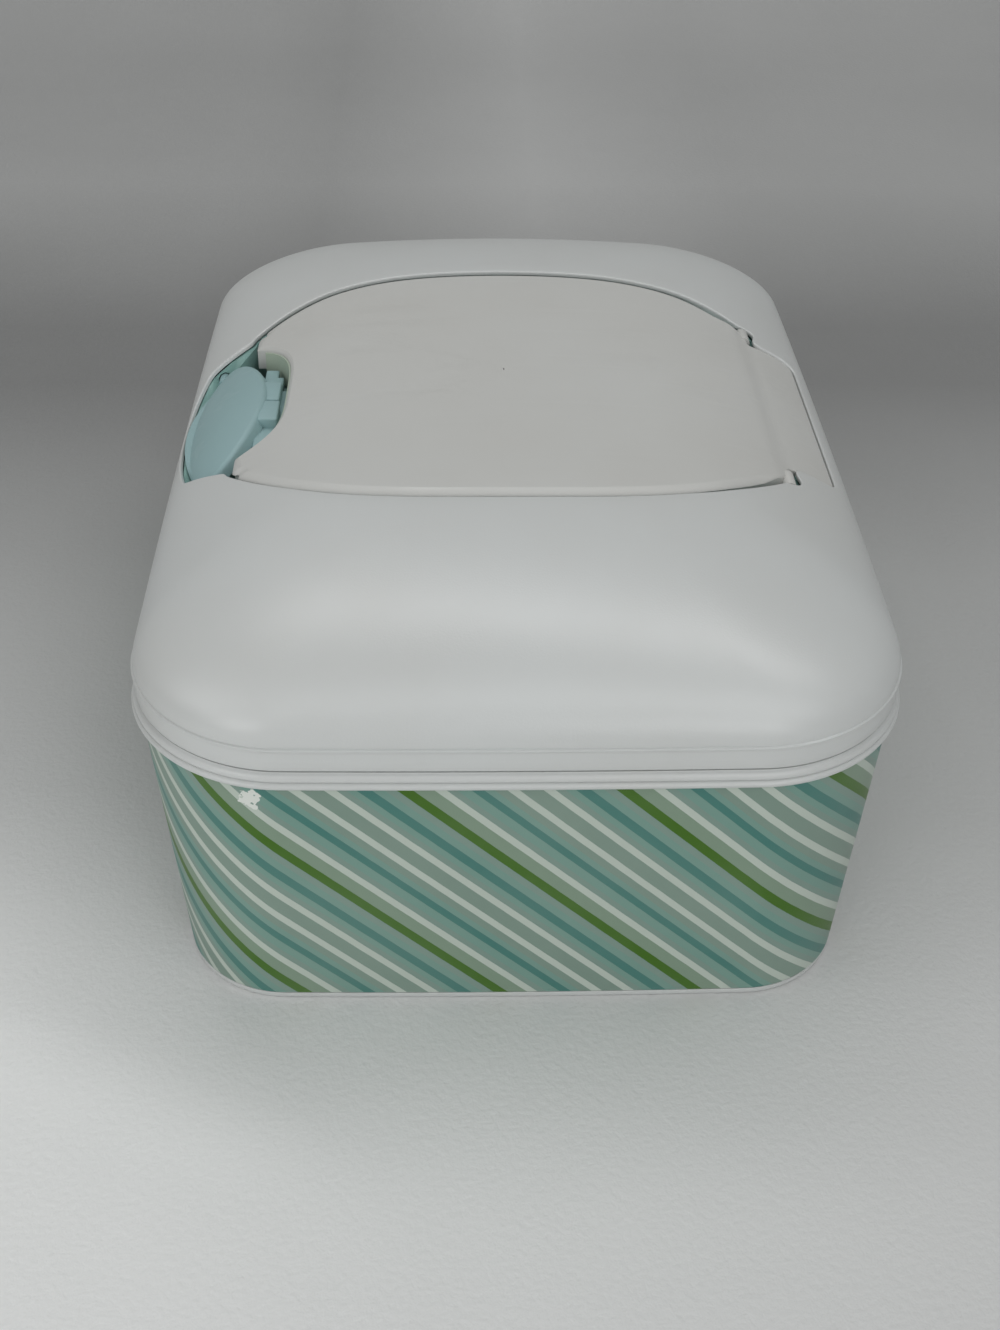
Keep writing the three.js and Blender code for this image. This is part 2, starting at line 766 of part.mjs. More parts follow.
function collarOf() {
  const level = (inward, z) => mouthRing(collarHalfLength - inward, collarHalfWidth - inward,
    collarCorner - inward, z);
  return solidOf(loft([
    level(0, trayUnderZ),
    level(0, collarTopZ),
    level(collarWall, collarTopZ),
    level(collarWall, trayUnderZ),
  ], true));
}

const springSpigot = () =>
  barAlongZ(spigotRadius, 0, springY, trayUnderZ, trayFloorZ + spigotHeight);

function collarSeal() {
  const out = (sealWidth - collarWall) / 2;
  const level = (inward, z) => mouthRing(collarHalfLength - inward, collarHalfWidth - inward,
    collarCorner - inward, z);
  const lowZ = collarTopZ + gap;
  const shoulderZ = lowZ + collarSealHeight / 2;
  const highZ = lowZ + collarSealHeight;
  return solidOf(loft([
    level(-out, lowZ),
    level(-out, shoulderZ),
    level(sealWidth / 3 - out, highZ),
    level((2 * sealWidth) / 3 - out, highZ),
    level(sealWidth - out, shoulderZ),
    level(sealWidth - out, lowZ),
  ], true));
}

// Soft mouth: a grommet round the seat's edge with a funnel down to an oblong slot.
function orificeMembrane() {
  const level = (out, z) => mouthRing(seatHalfLength + out, seatHalfWidth + out,
    seatCorner + out, z);
  const slot = (z) => mouthRing(mouthHalfLength, mouthHalfWidth, mouthHalfWidth, z);
  const underZ = trayUnderZ - gap;
  const overZ = trayFloorZ + gap;
  return solidOf(loft([
    level(mouthLip - gap, underZ - mouthThickness),
    level(mouthLip, underZ),
    level(-gap, underZ),
    level(-gap, overZ),
    level(mouthLip, overZ),
    level(mouthLip - gap, overZ + mouthThickness),
    level(-mouthLip, overZ + mouthThickness),
    slot(overZ + mouthThickness - mouthFunnel),
    slot(overZ - mouthFunnel),
    level(-mouthLip, underZ - mouthThickness),
  ], true));
}

// Cover: a skin cut from the dome with a rim turned down all round, the tail and two stubs.
function flipCover() {
  const outline = coverOutline();
  const low = trayFloorZ;
  const high = low + 2 * overrun;
  const skin = cut(domeSolid(0, 0, 0), domeSolid(0, coverRimDepth, 0));
  const hollow = common(
    prism(grown(outline, -coverRimWall), low, high),
    domeSolid(0, coverWall, 0),
  );
  const panel = cut(common(skin, prism(outline, low, high)), hollow);
  const tailBand = cut(domeSolid(0, tailRecess, 0), domeSolid(0, tailRecess + coverWall, 0));
  const tailShape = tailOutline(tailHalfLength, hingeY - tailCorner, tailEnd);
  const tail = common(tailBand, prism(tailShape, low, high));
  const crease = barAlongX(creaseRadius, -tailHalfLength, tailHalfLength, hingeY + creaseDepth,
    domeHeight(0, hingeY) - creaseDepth + creaseRadius);
  const passage = box([-tailHalfLength + coverRimWall, hingeY - tailCorner, 0],
    [tailHalfLength - coverRimWall, hingeY + tailReach, hingeZ - stubRadius / 2]);
  const stubs = [-1, 1].map((side) => {
    const root = side * (stubRoot() - coverRimWall);
    const tip = side * (stubRoot() + stubReach);
    return barAlongX(stubRadius, Math.min(root, tip), Math.max(root, tip), hingeY, hingeZ);
  });
  return join(cut(join(cut(panel, passage), tail), crease), ...stubs);
}

// Inner plate of the cover: a dish that meets the skin, with the catch at its front.
function coverLiner() {
  const plan = (inward) => roundedPlan(linerHalfLength - inward, linerHalfWidth - inward,
    linerCorner - inward, 0);
  const topZ = linerUnderZ + linerPlate;
  const inRim = prism(grown(coverOutline(), -coverRimWall - gap), linerUnderZ, topZ + overrun);
  const dish = cut(
    common(
      prism(plan(0), linerUnderZ, linerUnderZ + overrun),
      domeSolid(0, coverWall + gap, 0),
      inRim,
    ),
    prism(plan(linerRimWall), topZ, topZ + overrun),
  );
  const front = catchFrontY();
  const lowZ = topZ - catchDepth;
  const arm = box([-catchHalfLength, front, linerUnderZ],
    [catchHalfLength, linerRimWall - linerHalfWidth, topZ]);
  const plate = box([-catchHalfLength, front, lowZ],
    [catchHalfLength, front + catchThickness, topZ]);
  const noses = [-1, 1].map((side) => {
    const inner = side * (catchHalfLength - noseLength);
    const outer = side * catchHalfLength;
    return box([Math.min(inner, outer), noseTipY(), lowZ],
      [Math.max(inner, outer), front + catchThickness, lowZ + noseHeight]);
  });
  return join(dish, arm, plate, ...noses);
}

const pivotTip = () => buttonShape.lowHalfLength + pivotReach;
const pivotY = () => buttonY - pivotOut;
const pivotZ = () => domeHeight(0, buttonY) - pivotDrop;
const tongueTopZ = () => domeHeight(0, notchBackY()) - coverRimDepth - gap;

function releaseButton() {
  const body = cut(
    common(tiltedPrism(buttonShape, 0, -buttonRimDepth, overrun), buttonCrown(0)),
    common(tiltedPrism(buttonShape, -buttonRimWall, -overrun, overrun), buttonCrown(buttonWall)),
  );
  const clear = cut(
    everything(pocketFloorZ + gap),
    prism(grown(coverOutline(), coverGap + gap), trayFloorZ, trayFloorZ + overrun),
  );
  const rootY = buttonY + tongueRoot;
  const tongueEndY = catchFrontY() - 2 * gap;
  const top = tongueTopZ();
  const web = common(
    box([-tongueHalfLength, rootY - tongueThickness, top - tongueThickness],
      [tongueHalfLength, rootY, top + overrun]),
    buttonCrown(buttonWall / 2),
  );
  const tongue = box([-tongueHalfLength, rootY - tongueThickness, top - tongueThickness],
    [tongueHalfLength, tongueEndY, top]);
  const pivots = [-1, 1].map((side) => {
    const root = side * (buttonShape.lowHalfLength - buttonRimWall);
    const tip = side * pivotTip();
    return barAlongX(pivotRadius, Math.min(root, tip), Math.max(root, tip), pivotY(), pivotZ());
  });
  return join(common(body, clear), web, tongue, ...pivots);
}

// Centre line of the spring: a helix whose pitch eases to nothing at both ends.
class SpringPath extends THREE.Curve {
  constructor(lowZ, highZ) {
    super();
    this.lowZ = lowZ;
    this.highZ = highZ;
  }

  getPoint(share, target = new THREE.Vector3()) {
    const turn = share * springTurns * 4 * quarterTurn;
    const rise = share - (springEaseShare * Math.sin(share * 4 * quarterTurn)) / (4 * quarterTurn);
    return target.set(
      springRadius * Math.cos(turn),
      springY + springRadius * Math.sin(turn),
      this.lowZ + (this.highZ - this.lowZ) * rise,
    );
  }
}

// Least clear space between neighbouring turns, measured on points a turn apart.
function leastSelfGap(path) {
  const points = path.getPoints(springTurns * coilSteps);
  const gaps = points.slice(coilSteps).map((point, index) => point.distanceTo(points[index]));
  return Math.min(...gaps) - springWire;
}

function buttonSpring() {
  const wire = springWire / 2;
  const lowZ = trayFloorZ + gap + wire;
  const path = new SpringPath(lowZ, tongueTopZ() - tongueThickness - gap - wire);
  const section = new THREE.Shape(Array.from({ length: coilSides }, (_, side) => {
    const turn = (side / coilSides) * 4 * quarterTurn;
    return new THREE.Vector2(wire * Math.cos(turn), wire * Math.sin(turn));
  }));
  console.log("least gap of the spring to itself", leastSelfGap(path).toFixed(2), "mm");
  return solidOf(new THREE.ExtrudeGeometry(section, {
    steps: springTurns * coilSteps,
    extrudePath: path,
    bevelEnabled: false,
  }));
}

function material([red, green, blue], roughness, metalness = 0) {
  return new THREE.MeshStandardMaterial({
    color: new THREE.Color().setRGB(red, green, blue, THREE.SRGBColorSpace),
    roughness,
    metalness,
  });
}

function piece(name, solid, look) {
  const mesh = new THREE.Mesh(geometryOf(solid), look);
  mesh.name = name;
  return mesh;
}

const tub = new THREE.Group().add(
  piece("tub_shell", tubShell(), material(white, 0.5)),
  piece("label_sleeve", labelSleeve(), material(sleeveGreen, 0.45)),
);

const cover = new THREE.Group().add(
  piece("flip_cover", flipCover(), material(warmWhite, 0.5)),
  piece("cover_liner", coverLiner(), material(clearGrey, 0.4)),
);

const lid = new THREE.Group().add(
  piece("lid_shell", lidShell(), material(white, 0.5)),
  piece("lid_seal", lidSeal(), material(softTeal, 0.8)),
  piece("dispenser_frame", dispenserFrame(), material(teal, 0.5)),
  piece("orifice_membrane", orificeMembrane(), material(softTeal, 0.8)),
  piece("collar_seal", collarSeal(), material(softTeal, 0.8)),
  piece("button_spring", buttonSpring(), material(steel, 0.3, 1)),
  piece("release_button", releaseButton(), material(teal, 0.45)),
  cover,
);

const group = new THREE.Group().add(tub, lid);
export default group;
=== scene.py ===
"""Looks of the wipes container: a striped tub, a satin domed lid, and the hinged cover in it.

Shapes are worked out in millimetres and turned into metres when a piece is finished.
X runs along the container, the release button faces -Y, the hinge lies at +Y, and Z is up.
"""

import logging
import math
from dataclasses import dataclass, field
from enum import Enum
from typing import Callable, Mapping, Sequence

import bmesh
import bpy
import numpy as np
from mathutils import Matrix, Vector

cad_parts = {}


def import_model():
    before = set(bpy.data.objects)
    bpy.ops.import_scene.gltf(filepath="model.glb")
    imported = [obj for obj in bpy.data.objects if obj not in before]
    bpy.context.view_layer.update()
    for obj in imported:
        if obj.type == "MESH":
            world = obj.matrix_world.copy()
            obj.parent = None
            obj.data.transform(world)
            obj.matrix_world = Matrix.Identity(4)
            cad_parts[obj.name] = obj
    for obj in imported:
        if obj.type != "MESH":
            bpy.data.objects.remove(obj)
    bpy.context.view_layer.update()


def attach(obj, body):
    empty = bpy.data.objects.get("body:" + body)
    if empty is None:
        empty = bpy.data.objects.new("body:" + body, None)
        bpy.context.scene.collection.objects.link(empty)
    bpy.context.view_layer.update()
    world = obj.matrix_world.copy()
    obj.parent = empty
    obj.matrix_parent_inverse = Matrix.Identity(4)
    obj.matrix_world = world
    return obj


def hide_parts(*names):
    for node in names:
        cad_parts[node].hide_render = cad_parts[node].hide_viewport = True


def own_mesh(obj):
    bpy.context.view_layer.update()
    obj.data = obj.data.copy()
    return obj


LOG = logging.getLogger("wipes_container")

Colour = tuple[float, float, float]
Place = tuple[float, float, float]
Row = np.ndarray
Socket = bpy.types.NodeSocket

MM = 0.001
QUARTER = math.pi / 2
# Shares round a rounded plan: its four corners and the four sides between them.
ROUND = 8
# Halvings with which a search closes in on a place.
HALVINGS = 30
# Places at which the length of an outline is measured.
MEASURED = 4001
# Size of the innermost ring of a face, as a share of the face.
INNERMOST = 0.02
# Distances in millimetres within which vertices become one, on new and on plain solids.
MERGED = 1e-4
SOLID_MERGED = 1e-3
# Millimetres to one unit of the sleeve's map.
MAP_UNIT = 100
# Height in metres that a bump of full strength stands for.
BUMP_HEIGHT = 0.0002


class Body(Enum):
    """Moving bodies of the container."""

    TUB = "tub"
    LID = "lid"
    COVER = "cover"
    BUTTON = "button"


class Part(Enum):
    """Shapes that together make the opening in the lid."""

    BARREL = 0
    TAIL = 1
    BUTTON = 2
    EAR_RIGHT = 3
    EAR_LEFT = 4
    SWING = 5


def linear(red: int, green: int, blue: int) -> Colour:
    """Turns a screen colour into the linear one that shaders use.

    Args:
        red: Red from 0 to 255.
        green: Green from 0 to 255.
        blue: Blue from 0 to 255.

    Returns:
        The linear colour.
    """

    def one(value: float) -> float:
        """Linear value of one channel."""
        share = value / 255
        return share / 12.92 if share <= 0.04045 else ((share + 0.055) / 1.055) ** 2.4

    return one(red), one(green), one(blue)


# ---------------------------------------------------------------- outlines


def travelled(places: Row) -> Row:
    """Distance from the first place to each place along a line."""
    steps = np.linalg.norm(np.diff(places, axis=0), axis=1)
    return np.concatenate([[0], np.cumsum(steps)])


def arc(x: float, y: float, radius: float, turn: Row) -> Row:
    """Places on an arc round a centre, one for each turn."""
    return np.column_stack([x + radius * np.cos(turn), y + radius * np.sin(turn)])


def at_height(flat: Row, z: float) -> Row:
    """Level row over flat places."""
    return np.column_stack([flat, np.full(len(flat), z)])


def last_within(within: Callable[[Row], Row], low: Row, high: Row) -> tuple[Row, Row]:
    """Closes in on the values at which a test stops holding.

    Args:
        within: The test.
        low: Values at which it holds.
        high: Values at which it doesn't.

    Returns:
        The last values found with it and without it.
    """
    for _ in range(HALVINGS):
        middle = (low + high) / 2
        held = within(middle)
        low, high = np.where(held, middle, low), np.where(held, high, middle)
    return low, high


@dataclass(frozen=True)
class RoundedPlan:
    """Rectangle with round corners and slightly bowed sides, seen from above."""

    half_x: float | Row
    half_y: float | Row
    corner: float | Row
    bow: float = 0.0

    def inset(self, distance: float) -> "RoundedPlan":
        """The same plan, drawn in by a distance."""
        return RoundedPlan(
            self.half_x - distance, self.half_y - distance, self.corner - distance, self.bow
        )

    def points(self, shares: Row) -> Row:
        """Places on the outline.

        Args:
            shares: Places round it from 0 to 8; even parts are corners, odd parts sides.

        Returns:
            One X and Y for each share.
        """
        part = np.floor(shares).astype(int) % ROUND
        along = shares - np.floor(shares)
        quarter = part // 2
        sign_x = np.array([1, -1, -1, 1])
        sign_y = np.array([1, 1, -1, -1])
        reach_x = self.half_x - self.corner
        reach_y = self.half_y - self.corner
        turn = np.where(part % 2 == 0, quarter + along, quarter + 1) * QUARTER
        slide = np.where(part % 2 == 0, 0.0, along)
        after = (quarter + 1) % 4
        centre_x = (sign_x[quarter] * (1 - slide) + sign_x[after] * slide) * reach_x
        centre_y = (sign_y[quarter] * (1 - slide) + sign_y[after] * slide) * reach_y
        x = centre_x + self.corner * np.cos(turn)
        y = centre_y + self.corner * np.sin(turn)
        return np.stack([x * self.narrowed(self.half_x, y, self.half_y),
                         y * self.narrowed(self.half_y, x, self.half_x)], axis=-1)

    def narrowed(self, half: float | Row, across: Row, half_across: float | Row) -> Row:
        """Share by which the bow draws one direction in, at a place along the other."""
        return 1 - self.bow / half * (across / half_across) ** 2

    def unbowed(self, places: Row) -> tuple[Row, Row]:
        """X and Y of places as they would be with straight sides.

        Args:
            places: X and Y of the places.

        Returns:
            Their X, and their Y.
        """
        x, y = places[..., 0], places[..., 1]
        straight_y = y / self.narrowed(self.half_y, x, self.half_x)
        straight_x = x / self.narrowed(self.half_x, straight_y, self.half_y)
        return straight_x, y / self.narrowed(self.half_y, straight_x, self.half_x)

    def level(self, places: Row) -> Row:
        """How far places lie outside the outline, negative inside it.

        Args:
            places: X and Y of the places.

        Returns:
            The distances.
        """
        x, y = self.unbowed(places)
        out_x = np.abs(x) - (self.half_x - self.corner)
        out_y = np.abs(y) - (self.half_y - self.corner)
        round_out = np.hypot(np.maximum(out_x, 0), np.maximum(out_y, 0))
        return np.where(round_out > 0, round_out, np.maximum(out_x, out_y)) - self.corner

    def shares_of(self, places: Row) -> Row:
        """Shares round the outline of places that lie on it.

        Args:
            places: X and Y of the places.

        Returns:
            Their shares, from 0 to 8.
        """
        x, y = self.unbowed(places)
        reach_x = self.half_x - self.corner
        reach_y = self.half_y - self.corner
        out_x = np.abs(x) - reach_x
        out_y = np.abs(y) - reach_y
        turn = np.arctan2(y - np.sign(y) * reach_y, x - np.sign(x) * reach_x) % math.tau
        quarter = np.select([(x > 0) & (y > 0), (x <= 0) & (y > 0), x <= 0], [0, 1, 2], 3)
        in_corner = 2 * quarter + np.clip(turn / QUARTER - quarter, 0, 1)
        on_length = np.where(
            y > 0, 1 + (reach_x - x) / (2 * reach_x), 5 + (reach_x + x) / (2 * reach_x)
        )
        on_width = np.where(
            x > 0, 7 + (reach_y + y) / (2 * reach_y), 3 + (reach_y - y) / (2 * reach_y)
        )
        corner = (out_x > 0) & (out_y > 0)
        return np.where(corner, in_corner, np.where(out_x <= out_y, on_length, on_width))

    def even_shares(self, count: int, start: float = 0.0) -> Row:
        """Shares at equal distances round the outline.

        Args:
            count: Number of places.
            start: Share of the first place.

        Returns:
            The shares, in order.
        """
        fine = start + np.linspace(0, ROUND, MEASURED)
        travel = travelled(self.points(fine % ROUND))
        wanted = np.linspace(0, travel[-1], count, endpoint=False)
        return np.interp(wanted, travel, fine) % ROUND


@dataclass(frozen=True)
class DomeForm:
    """Surface of the lid: a rounded shoulder that rises to a gently crowned top."""

    half_length: float = 97.15
    half_width: float = 67.95
    base_z: float = 64.3
    rise: float = 20.0
    shoulder_length: float = 59.5
    shoulder_width: float = 41.3
    power: float = 2.2
    crown_share: float = 0.31
    crown_width: float = 69.0
    corner: float = 27.45
    corner_ease_share: float = 0.61
    bow: float = 0.9

    def plan(self, swing: float | Row, inset: float = 0.0) -> RoundedPlan:
        """Outline of the dome at a swing from its foot at zero to a quarter turn.

        Args:
            swing: The swing, or one for each place.
            inset: How far the dome is drawn in.

        Returns:
            The outline.
        """
        inward = 1 - np.cos(swing) ** (2 / self.power)
        return RoundedPlan(
            self.half_length - inset - self.shoulder_length * inward,
            self.half_width - inset - self.shoulder_width * inward,
            (self.corner - inset) * (1 - self.corner_ease_share * inward),
            self.bow,
        )

    def crown(self, y: Row) -> Row:
        """Share of the full rise at a distance from the middle line."""
        return 1 - self.crown_share * (y / self.crown_width) ** 2

    def surface(self, swing: float | Row, shares: Row, inset: float = 0.0) -> Row:
        """Places on the dome, or on the same dome moved in and down by an inset.

        Args:
            swing: Swing of each place.
            shares: Their shares round the outline.
            inset: The inset.

        Returns:
            X, Y and Z of the places.
        """
        flat = self.plan(swing, inset).points(shares)
        up = np.sin(swing) ** (2 / self.power)
        height = self.base_z - inset + self.rise * up * self.crown(flat[..., 1])
        return np.concatenate([flat, height[..., None]], axis=-1)

    def swings(self, places: Row, inset: float = 0.0) -> Row:
        """Swings at which the dome's outline runs through places.

        Args:
            places: X and Y of the places.
            inset: How far the dome is drawn in.

        Returns:
            The swings.
        """
        low, high = last_within(
            lambda swing: self.plan(swing, inset).level(places) < 0,
            np.zeros(len(places)),
            np.full(len(places), QUARTER - 1e-6),
        )
        return (low + high) / 2

    def heights(self, places: Row, inset: float = 0.0) -> Row:
        """Heights of the dome over places."""
        up = np.sin(self.swings(places, inset)) ** (2 / self.power)
        return self.base_z - inset + self.rise * up * self.crown(places[:, 1])

    def over(self, places: Row, drop: float | Row = 0.0) -> Row:
        """Places lifted onto the dome, less a drop."""
        return np.column_stack([places[:, :2], self.heights(places[:, :2]) - drop])


# The container's largest outline, and the dome of its lid.
LARGEST = RoundedPlan(98.2, 69.0, 28.5, 0.9)
DOME = DomeForm()


def moved_out(outline: Row, distance: float) -> Row:
    """Outline moved along its normals, outward where the distance is positive."""
    along = np.roll(outline, -1, axis=0) - np.roll(outline, 1, axis=0)
    along /= np.linalg.norm(along, axis=1, keepdims=True)
    return outline + distance * np.column_stack([along[:, 1], -along[:, 0]])


def eased(values: Row, passes: int) -> Row:
    """Values round a closed row, each drawn towards its neighbours."""
    for _ in range(passes):
        values = values / 2 + (np.roll(values, 1, axis=0) + np.roll(values, -1, axis=0)) / 4
    return values


def radial(outline: Row, angles: Row) -> Row:
    """Farthest distance from the middle to an outline along each angle.

    Args:
        outline: Corners of a closed outline.
        angles: Directions from the middle.

    Returns:
        The distances, zero where a direction misses the outline.
    """
    parallel, slack = 1e-12, 1e-9
    edge = np.roll(outline, -1, axis=0) - outline
    cos, sin = np.cos(angles)[:, None], np.sin(angles)[:, None]
    cross = cos * edge[:, 1] - sin * edge[:, 0]
    cross = np.where(np.abs(cross) < parallel, parallel, cross)
    reach = (outline[:, 0] * edge[:, 1] - outline[:, 1] * edge[:, 0]) / cross
    share = (outline[:, 0] * sin - outline[:, 1] * cos) / cross
    hit = (share >= -slack) & (share <= 1 + slack) & (reach > 0)
    return np.where(hit, reach, 0).max(axis=1)


def evenly(outline: Row, count: int) -> Row:
    """Closed outline sampled at equal distances, starting from its first place.

    Args:
        outline: Corners of the outline.
        count: Number of places.

    Returns:
        The places.
    """
    closed = np.concatenate([outline, outline[:1]])
    travel = travelled(closed)
    wanted = np.linspace(0, travel[-1], count, endpoint=False)
    return np.column_stack([np.interp(wanted, travel, closed[:, axis]) for axis in (0, 1)])


def rings_within(outline: Row, centre: Sequence[float], count: int, crowding: float) -> list[Row]:
    """Flat rings from near a centre out to an outline.

    Args:
        outline: The outermost ring.
        centre: X and Y that the rings shrink towards.
        count: Number of rings.
        crowding: How much closer together the rings lie near the outline.

    Returns:
        The rings.
    """
    shares = 1 - (1 - np.linspace(0.0, 1.0, count)) ** crowding
    return [
        centre + (outline - centre) * (INNERMOST + (1 - INNERMOST) * share) for share in shares
    ]


@dataclass(frozen=True)
class ButtonForm:
    """Outline of the release button, or of its pocket, in their tilted plane."""

    half_length: float
    tip_rise: float
    top_rise: float
    bell_power: float
    low_half_length: float
    low_drop: float
    foot_drop: float
    y: float = -58.0
    tilt: float = math.radians(33)
    search: float = 15.0

    def outline(self, steps: int = 90) -> Row:
        """Corners of the outline: the bell-shaped top edge, then the bowed foot.

        Args:
            steps: Corners along each of the two.

        Returns:
            X and Y of the corners.
        """
        share = np.sin(np.linspace(1, -1, steps) * QUARTER)
        bell = np.maximum(np.cos(share * QUARTER), 0) ** self.bell_power
        top = np.column_stack(
            [share * self.half_length, self.tip_rise + (self.top_rise - self.tip_rise) * bell]
        )
        share = np.linspace(-1, 1, steps)
        drop = self.low_drop + (self.foot_drop - self.low_drop) * (1 - share**2)
        return np.concatenate([top, np.column_stack([share * self.low_half_length, -drop])])

    def out_of_plane(self, places: Row) -> Row:
        """Places in the tilted plane, with a height over it, as places of the container.

        Args:
            places: X, Y and height of the places in the plane.

        Returns:
            Their X, Y and Z.
        """
        cos, sin = math.cos(self.tilt), math.sin(self.tilt)
        zero = DOME.heights(np.array([[0.0, self.y]]))[0]
        return np.column_stack(
            [
                places[:, 0],
                self.y + places[:, 1] * cos - places[:, 2] * sin,
                zero + places[:, 1] * sin + places[:, 2] * cos,
            ]
        )

    def on_dome(self, grow: float) -> Row:
        """Outline, grown by a distance, where its walls come through the dome.

        Args:
            grow: The distance.

        Returns:
            X and Y of its corners.
        """
        flat = moved_out(self.outline(), grow)

        def under_dome(height: Row) -> Row:
            """Whether places at a height over the plane lie under the dome."""
            place = self.out_of_plane(np.column_stack([flat, height]))
            return place[:, 2] < DOME.heights(place[:, :2])

        reach = np.full(len(flat), self.search)
        high = last_within(under_dome, -reach, reach)[1]
        return self.out_of_plane(np.column_stack([flat, high]))[:, :2]


BUTTON = ButtonForm(
    half_length=24.2, tip_rise=-4.0, top_rise=8.3, bell_power=0.48,
    low_half_length=22.5, low_drop=6.5, foot_drop=10.6,
)
POCKET = ButtonForm(
    half_length=27.9, tip_rise=3.0, top_rise=9.3, bell_power=1.3,
    low_half_length=23.3, low_drop=6.5, foot_drop=11.0,
)


@dataclass(frozen=True)
class CoverForm:
    """Plan of the hinged cover, and of the opening round it, grown by a gap.

    The gap is drawn wider at the sides, and narrower round the tail, than the plain solids have
    it. What lies hidden under the lid's edge keeps the plain gap.
    """

    half_length: float = 48.6
    end_half_length: float = 29.9
    front: float = 53.5
    rear: float = 53.3
    power_share: float = 0.26
    notch_half_length: float = 24.0
    notch_depth: float = 8.7
    notch_power: float = 4.0
    tail_half_length: float = 27.0
    tail_end: float = 63.4
    tail_corner: float = 3.0
    heel_round: float = 0.8
    elbow_round: float = 0.7
    toe_round: float = 1.5
    hinge_y: float = 52.7
    hinge_drop: float = 1.6
    turn_room: float = 1.4
    ear_x: float = 31.9
    ear_radius: float = 3.4
    gap: float = 1.15
    plain_gap: float = 0.6
    tail_gap: float = 0.15
    ear_gap: float = 0.85
    lip_grow: float = 1.7
    cut_grow: float = 2.0
    swing_back: float = 1.8
    button_gap: float = 0.5
    columns: int = 720
    side_steps: int = 60
    corner_steps: int = 8

    @property
    def hinge_z(self) -> float:
        """Height of the hinge axis."""
        return DOME.heights(np.array([[0.0, self.hinge_y]]))[0] - self.hinge_drop

    def half_at(self, y: Row) -> Row:
        """Half of the cover's length at a place across it."""
        out = (y / self.front) ** 2
        share = out * (self.power_share + (1 - self.power_share) * out)
        return self.half_length - (self.half_length - self.end_half_length) * share

    def barrel(self, front: float, rear: float, grow: float) -> Row:
        """Barrel outline between a front and a rear edge.

        Args:
            front: Distance from the middle to the front edge.
            rear: Distance from the middle to the rear edge.
            grow: How far the sides are moved out.

        Returns:
            Its corners.
        """
        turn = np.linspace(0, math.pi, 2 * self.side_steps)
        y = -front + (front + rear) * (1 - np.cos(turn)) / 2
        side = np.column_stack([self.half_at(y) + grow, y])
        return np.concatenate([side, (side * [-1, 1])[::-1]])

    def tail(self, grow: float) -> Row:
        """Outline of the tail behind the hinge, from the middle of the cover.

        Args:
            grow: How far the outline is moved out.

        Returns:
            Its corners.
        """
        half, end = self.tail_half_length + grow, self.tail_end + grow
        inner = self.tail_corner
        right = arc(half - inner, end - inner, inner, np.linspace(0, QUARTER, 12))
        left = (right * [-1, 1])[::-1]
        return np.concatenate([[[half, 0.0]], right, left, [[-half, 0.0]]])

    def ear(self, side: int, grow: float) -> Row:
        """Round outline of one hinge ear."""
        turn = np.linspace(0, math.tau, 60, endpoint=False)
        radius = self.ear_radius + grow - self.lip_grow
        return arc(side * self.ear_x, self.hinge_y, radius, turn)

    def swing_room(self, grow: float) -> Row:
        """Rear half of the opening moved back, for the cover's corners as it opens."""
        outline = self.barrel(self.front + grow, self.rear + self.turn_room, grow)
        back = np.clip(outline[:, 1] + self.swing_back, 0.0, self.hinge_y)
        return np.column_stack([outline[:, 0], back])

    def angles(self) -> Row:
        """Directions from the middle at which the outlines are sampled."""
        return np.linspace(0, math.tau, self.columns, endpoint=False)

    def opening(self, grow: float) -> tuple[Row, Row]:
        """Edge of the opening on the dome, and where it belongs to the button.

        Args:
            grow: Distance by which the opening is larger than the cover.

        Returns:
            Places on the edge, and a share that is one beside the button.
        """
        # An edge wider than the drawn gap is the hidden one, set back from the plain gap.
        set_back = 0.0 if grow <= self.gap else grow - self.plain_gap
        shapes = {
            Part.BARREL: self.barrel(
                self.front + grow, self.rear + self.turn_room + set_back, grow
            ),
            Part.TAIL: self.tail(grow if set_back else self.tail_gap),
            Part.BUTTON: POCKET.on_dome(self.button_gap + set_back),
            Part.EAR_RIGHT: self.ear(1, self.ear_gap + set_back),
            Part.EAR_LEFT: self.ear(-1, self.ear_gap + set_back),
            Part.SWING: self.swing_room(self.plain_gap),
        }
        angles = self.angles()
        reaches = np.stack([radial(shapes[part], angles) for part in Part])
        reach = eased(reaches.max(axis=0), 3)
        share = eased((reaches.argmax(axis=0) == Part.BUTTON.value).astype(float), 3)
        return np.column_stack([reach * np.cos(angles), reach * np.sin(angles)]), share

    def notch(self, share: Row, out: float = 0.0) -> Row:
        """Places along the notch's wall, moved out of the cover by a distance.

        Args:
            share: Shares of half its length, from -1 to 1.
            out: The distance.

        Returns:
            X and Y of the places.
        """
        back = self.notch_depth * (1 - np.abs(share) ** self.notch_power)
        curve = np.column_stack([share * self.notch_half_length, back - self.front])
        along = np.gradient(curve, axis=0)
        along /= np.linalg.norm(along, axis=1, keepdims=True)
        return curve + out * np.column_stack([along[:, 1], -along[:, 0]])

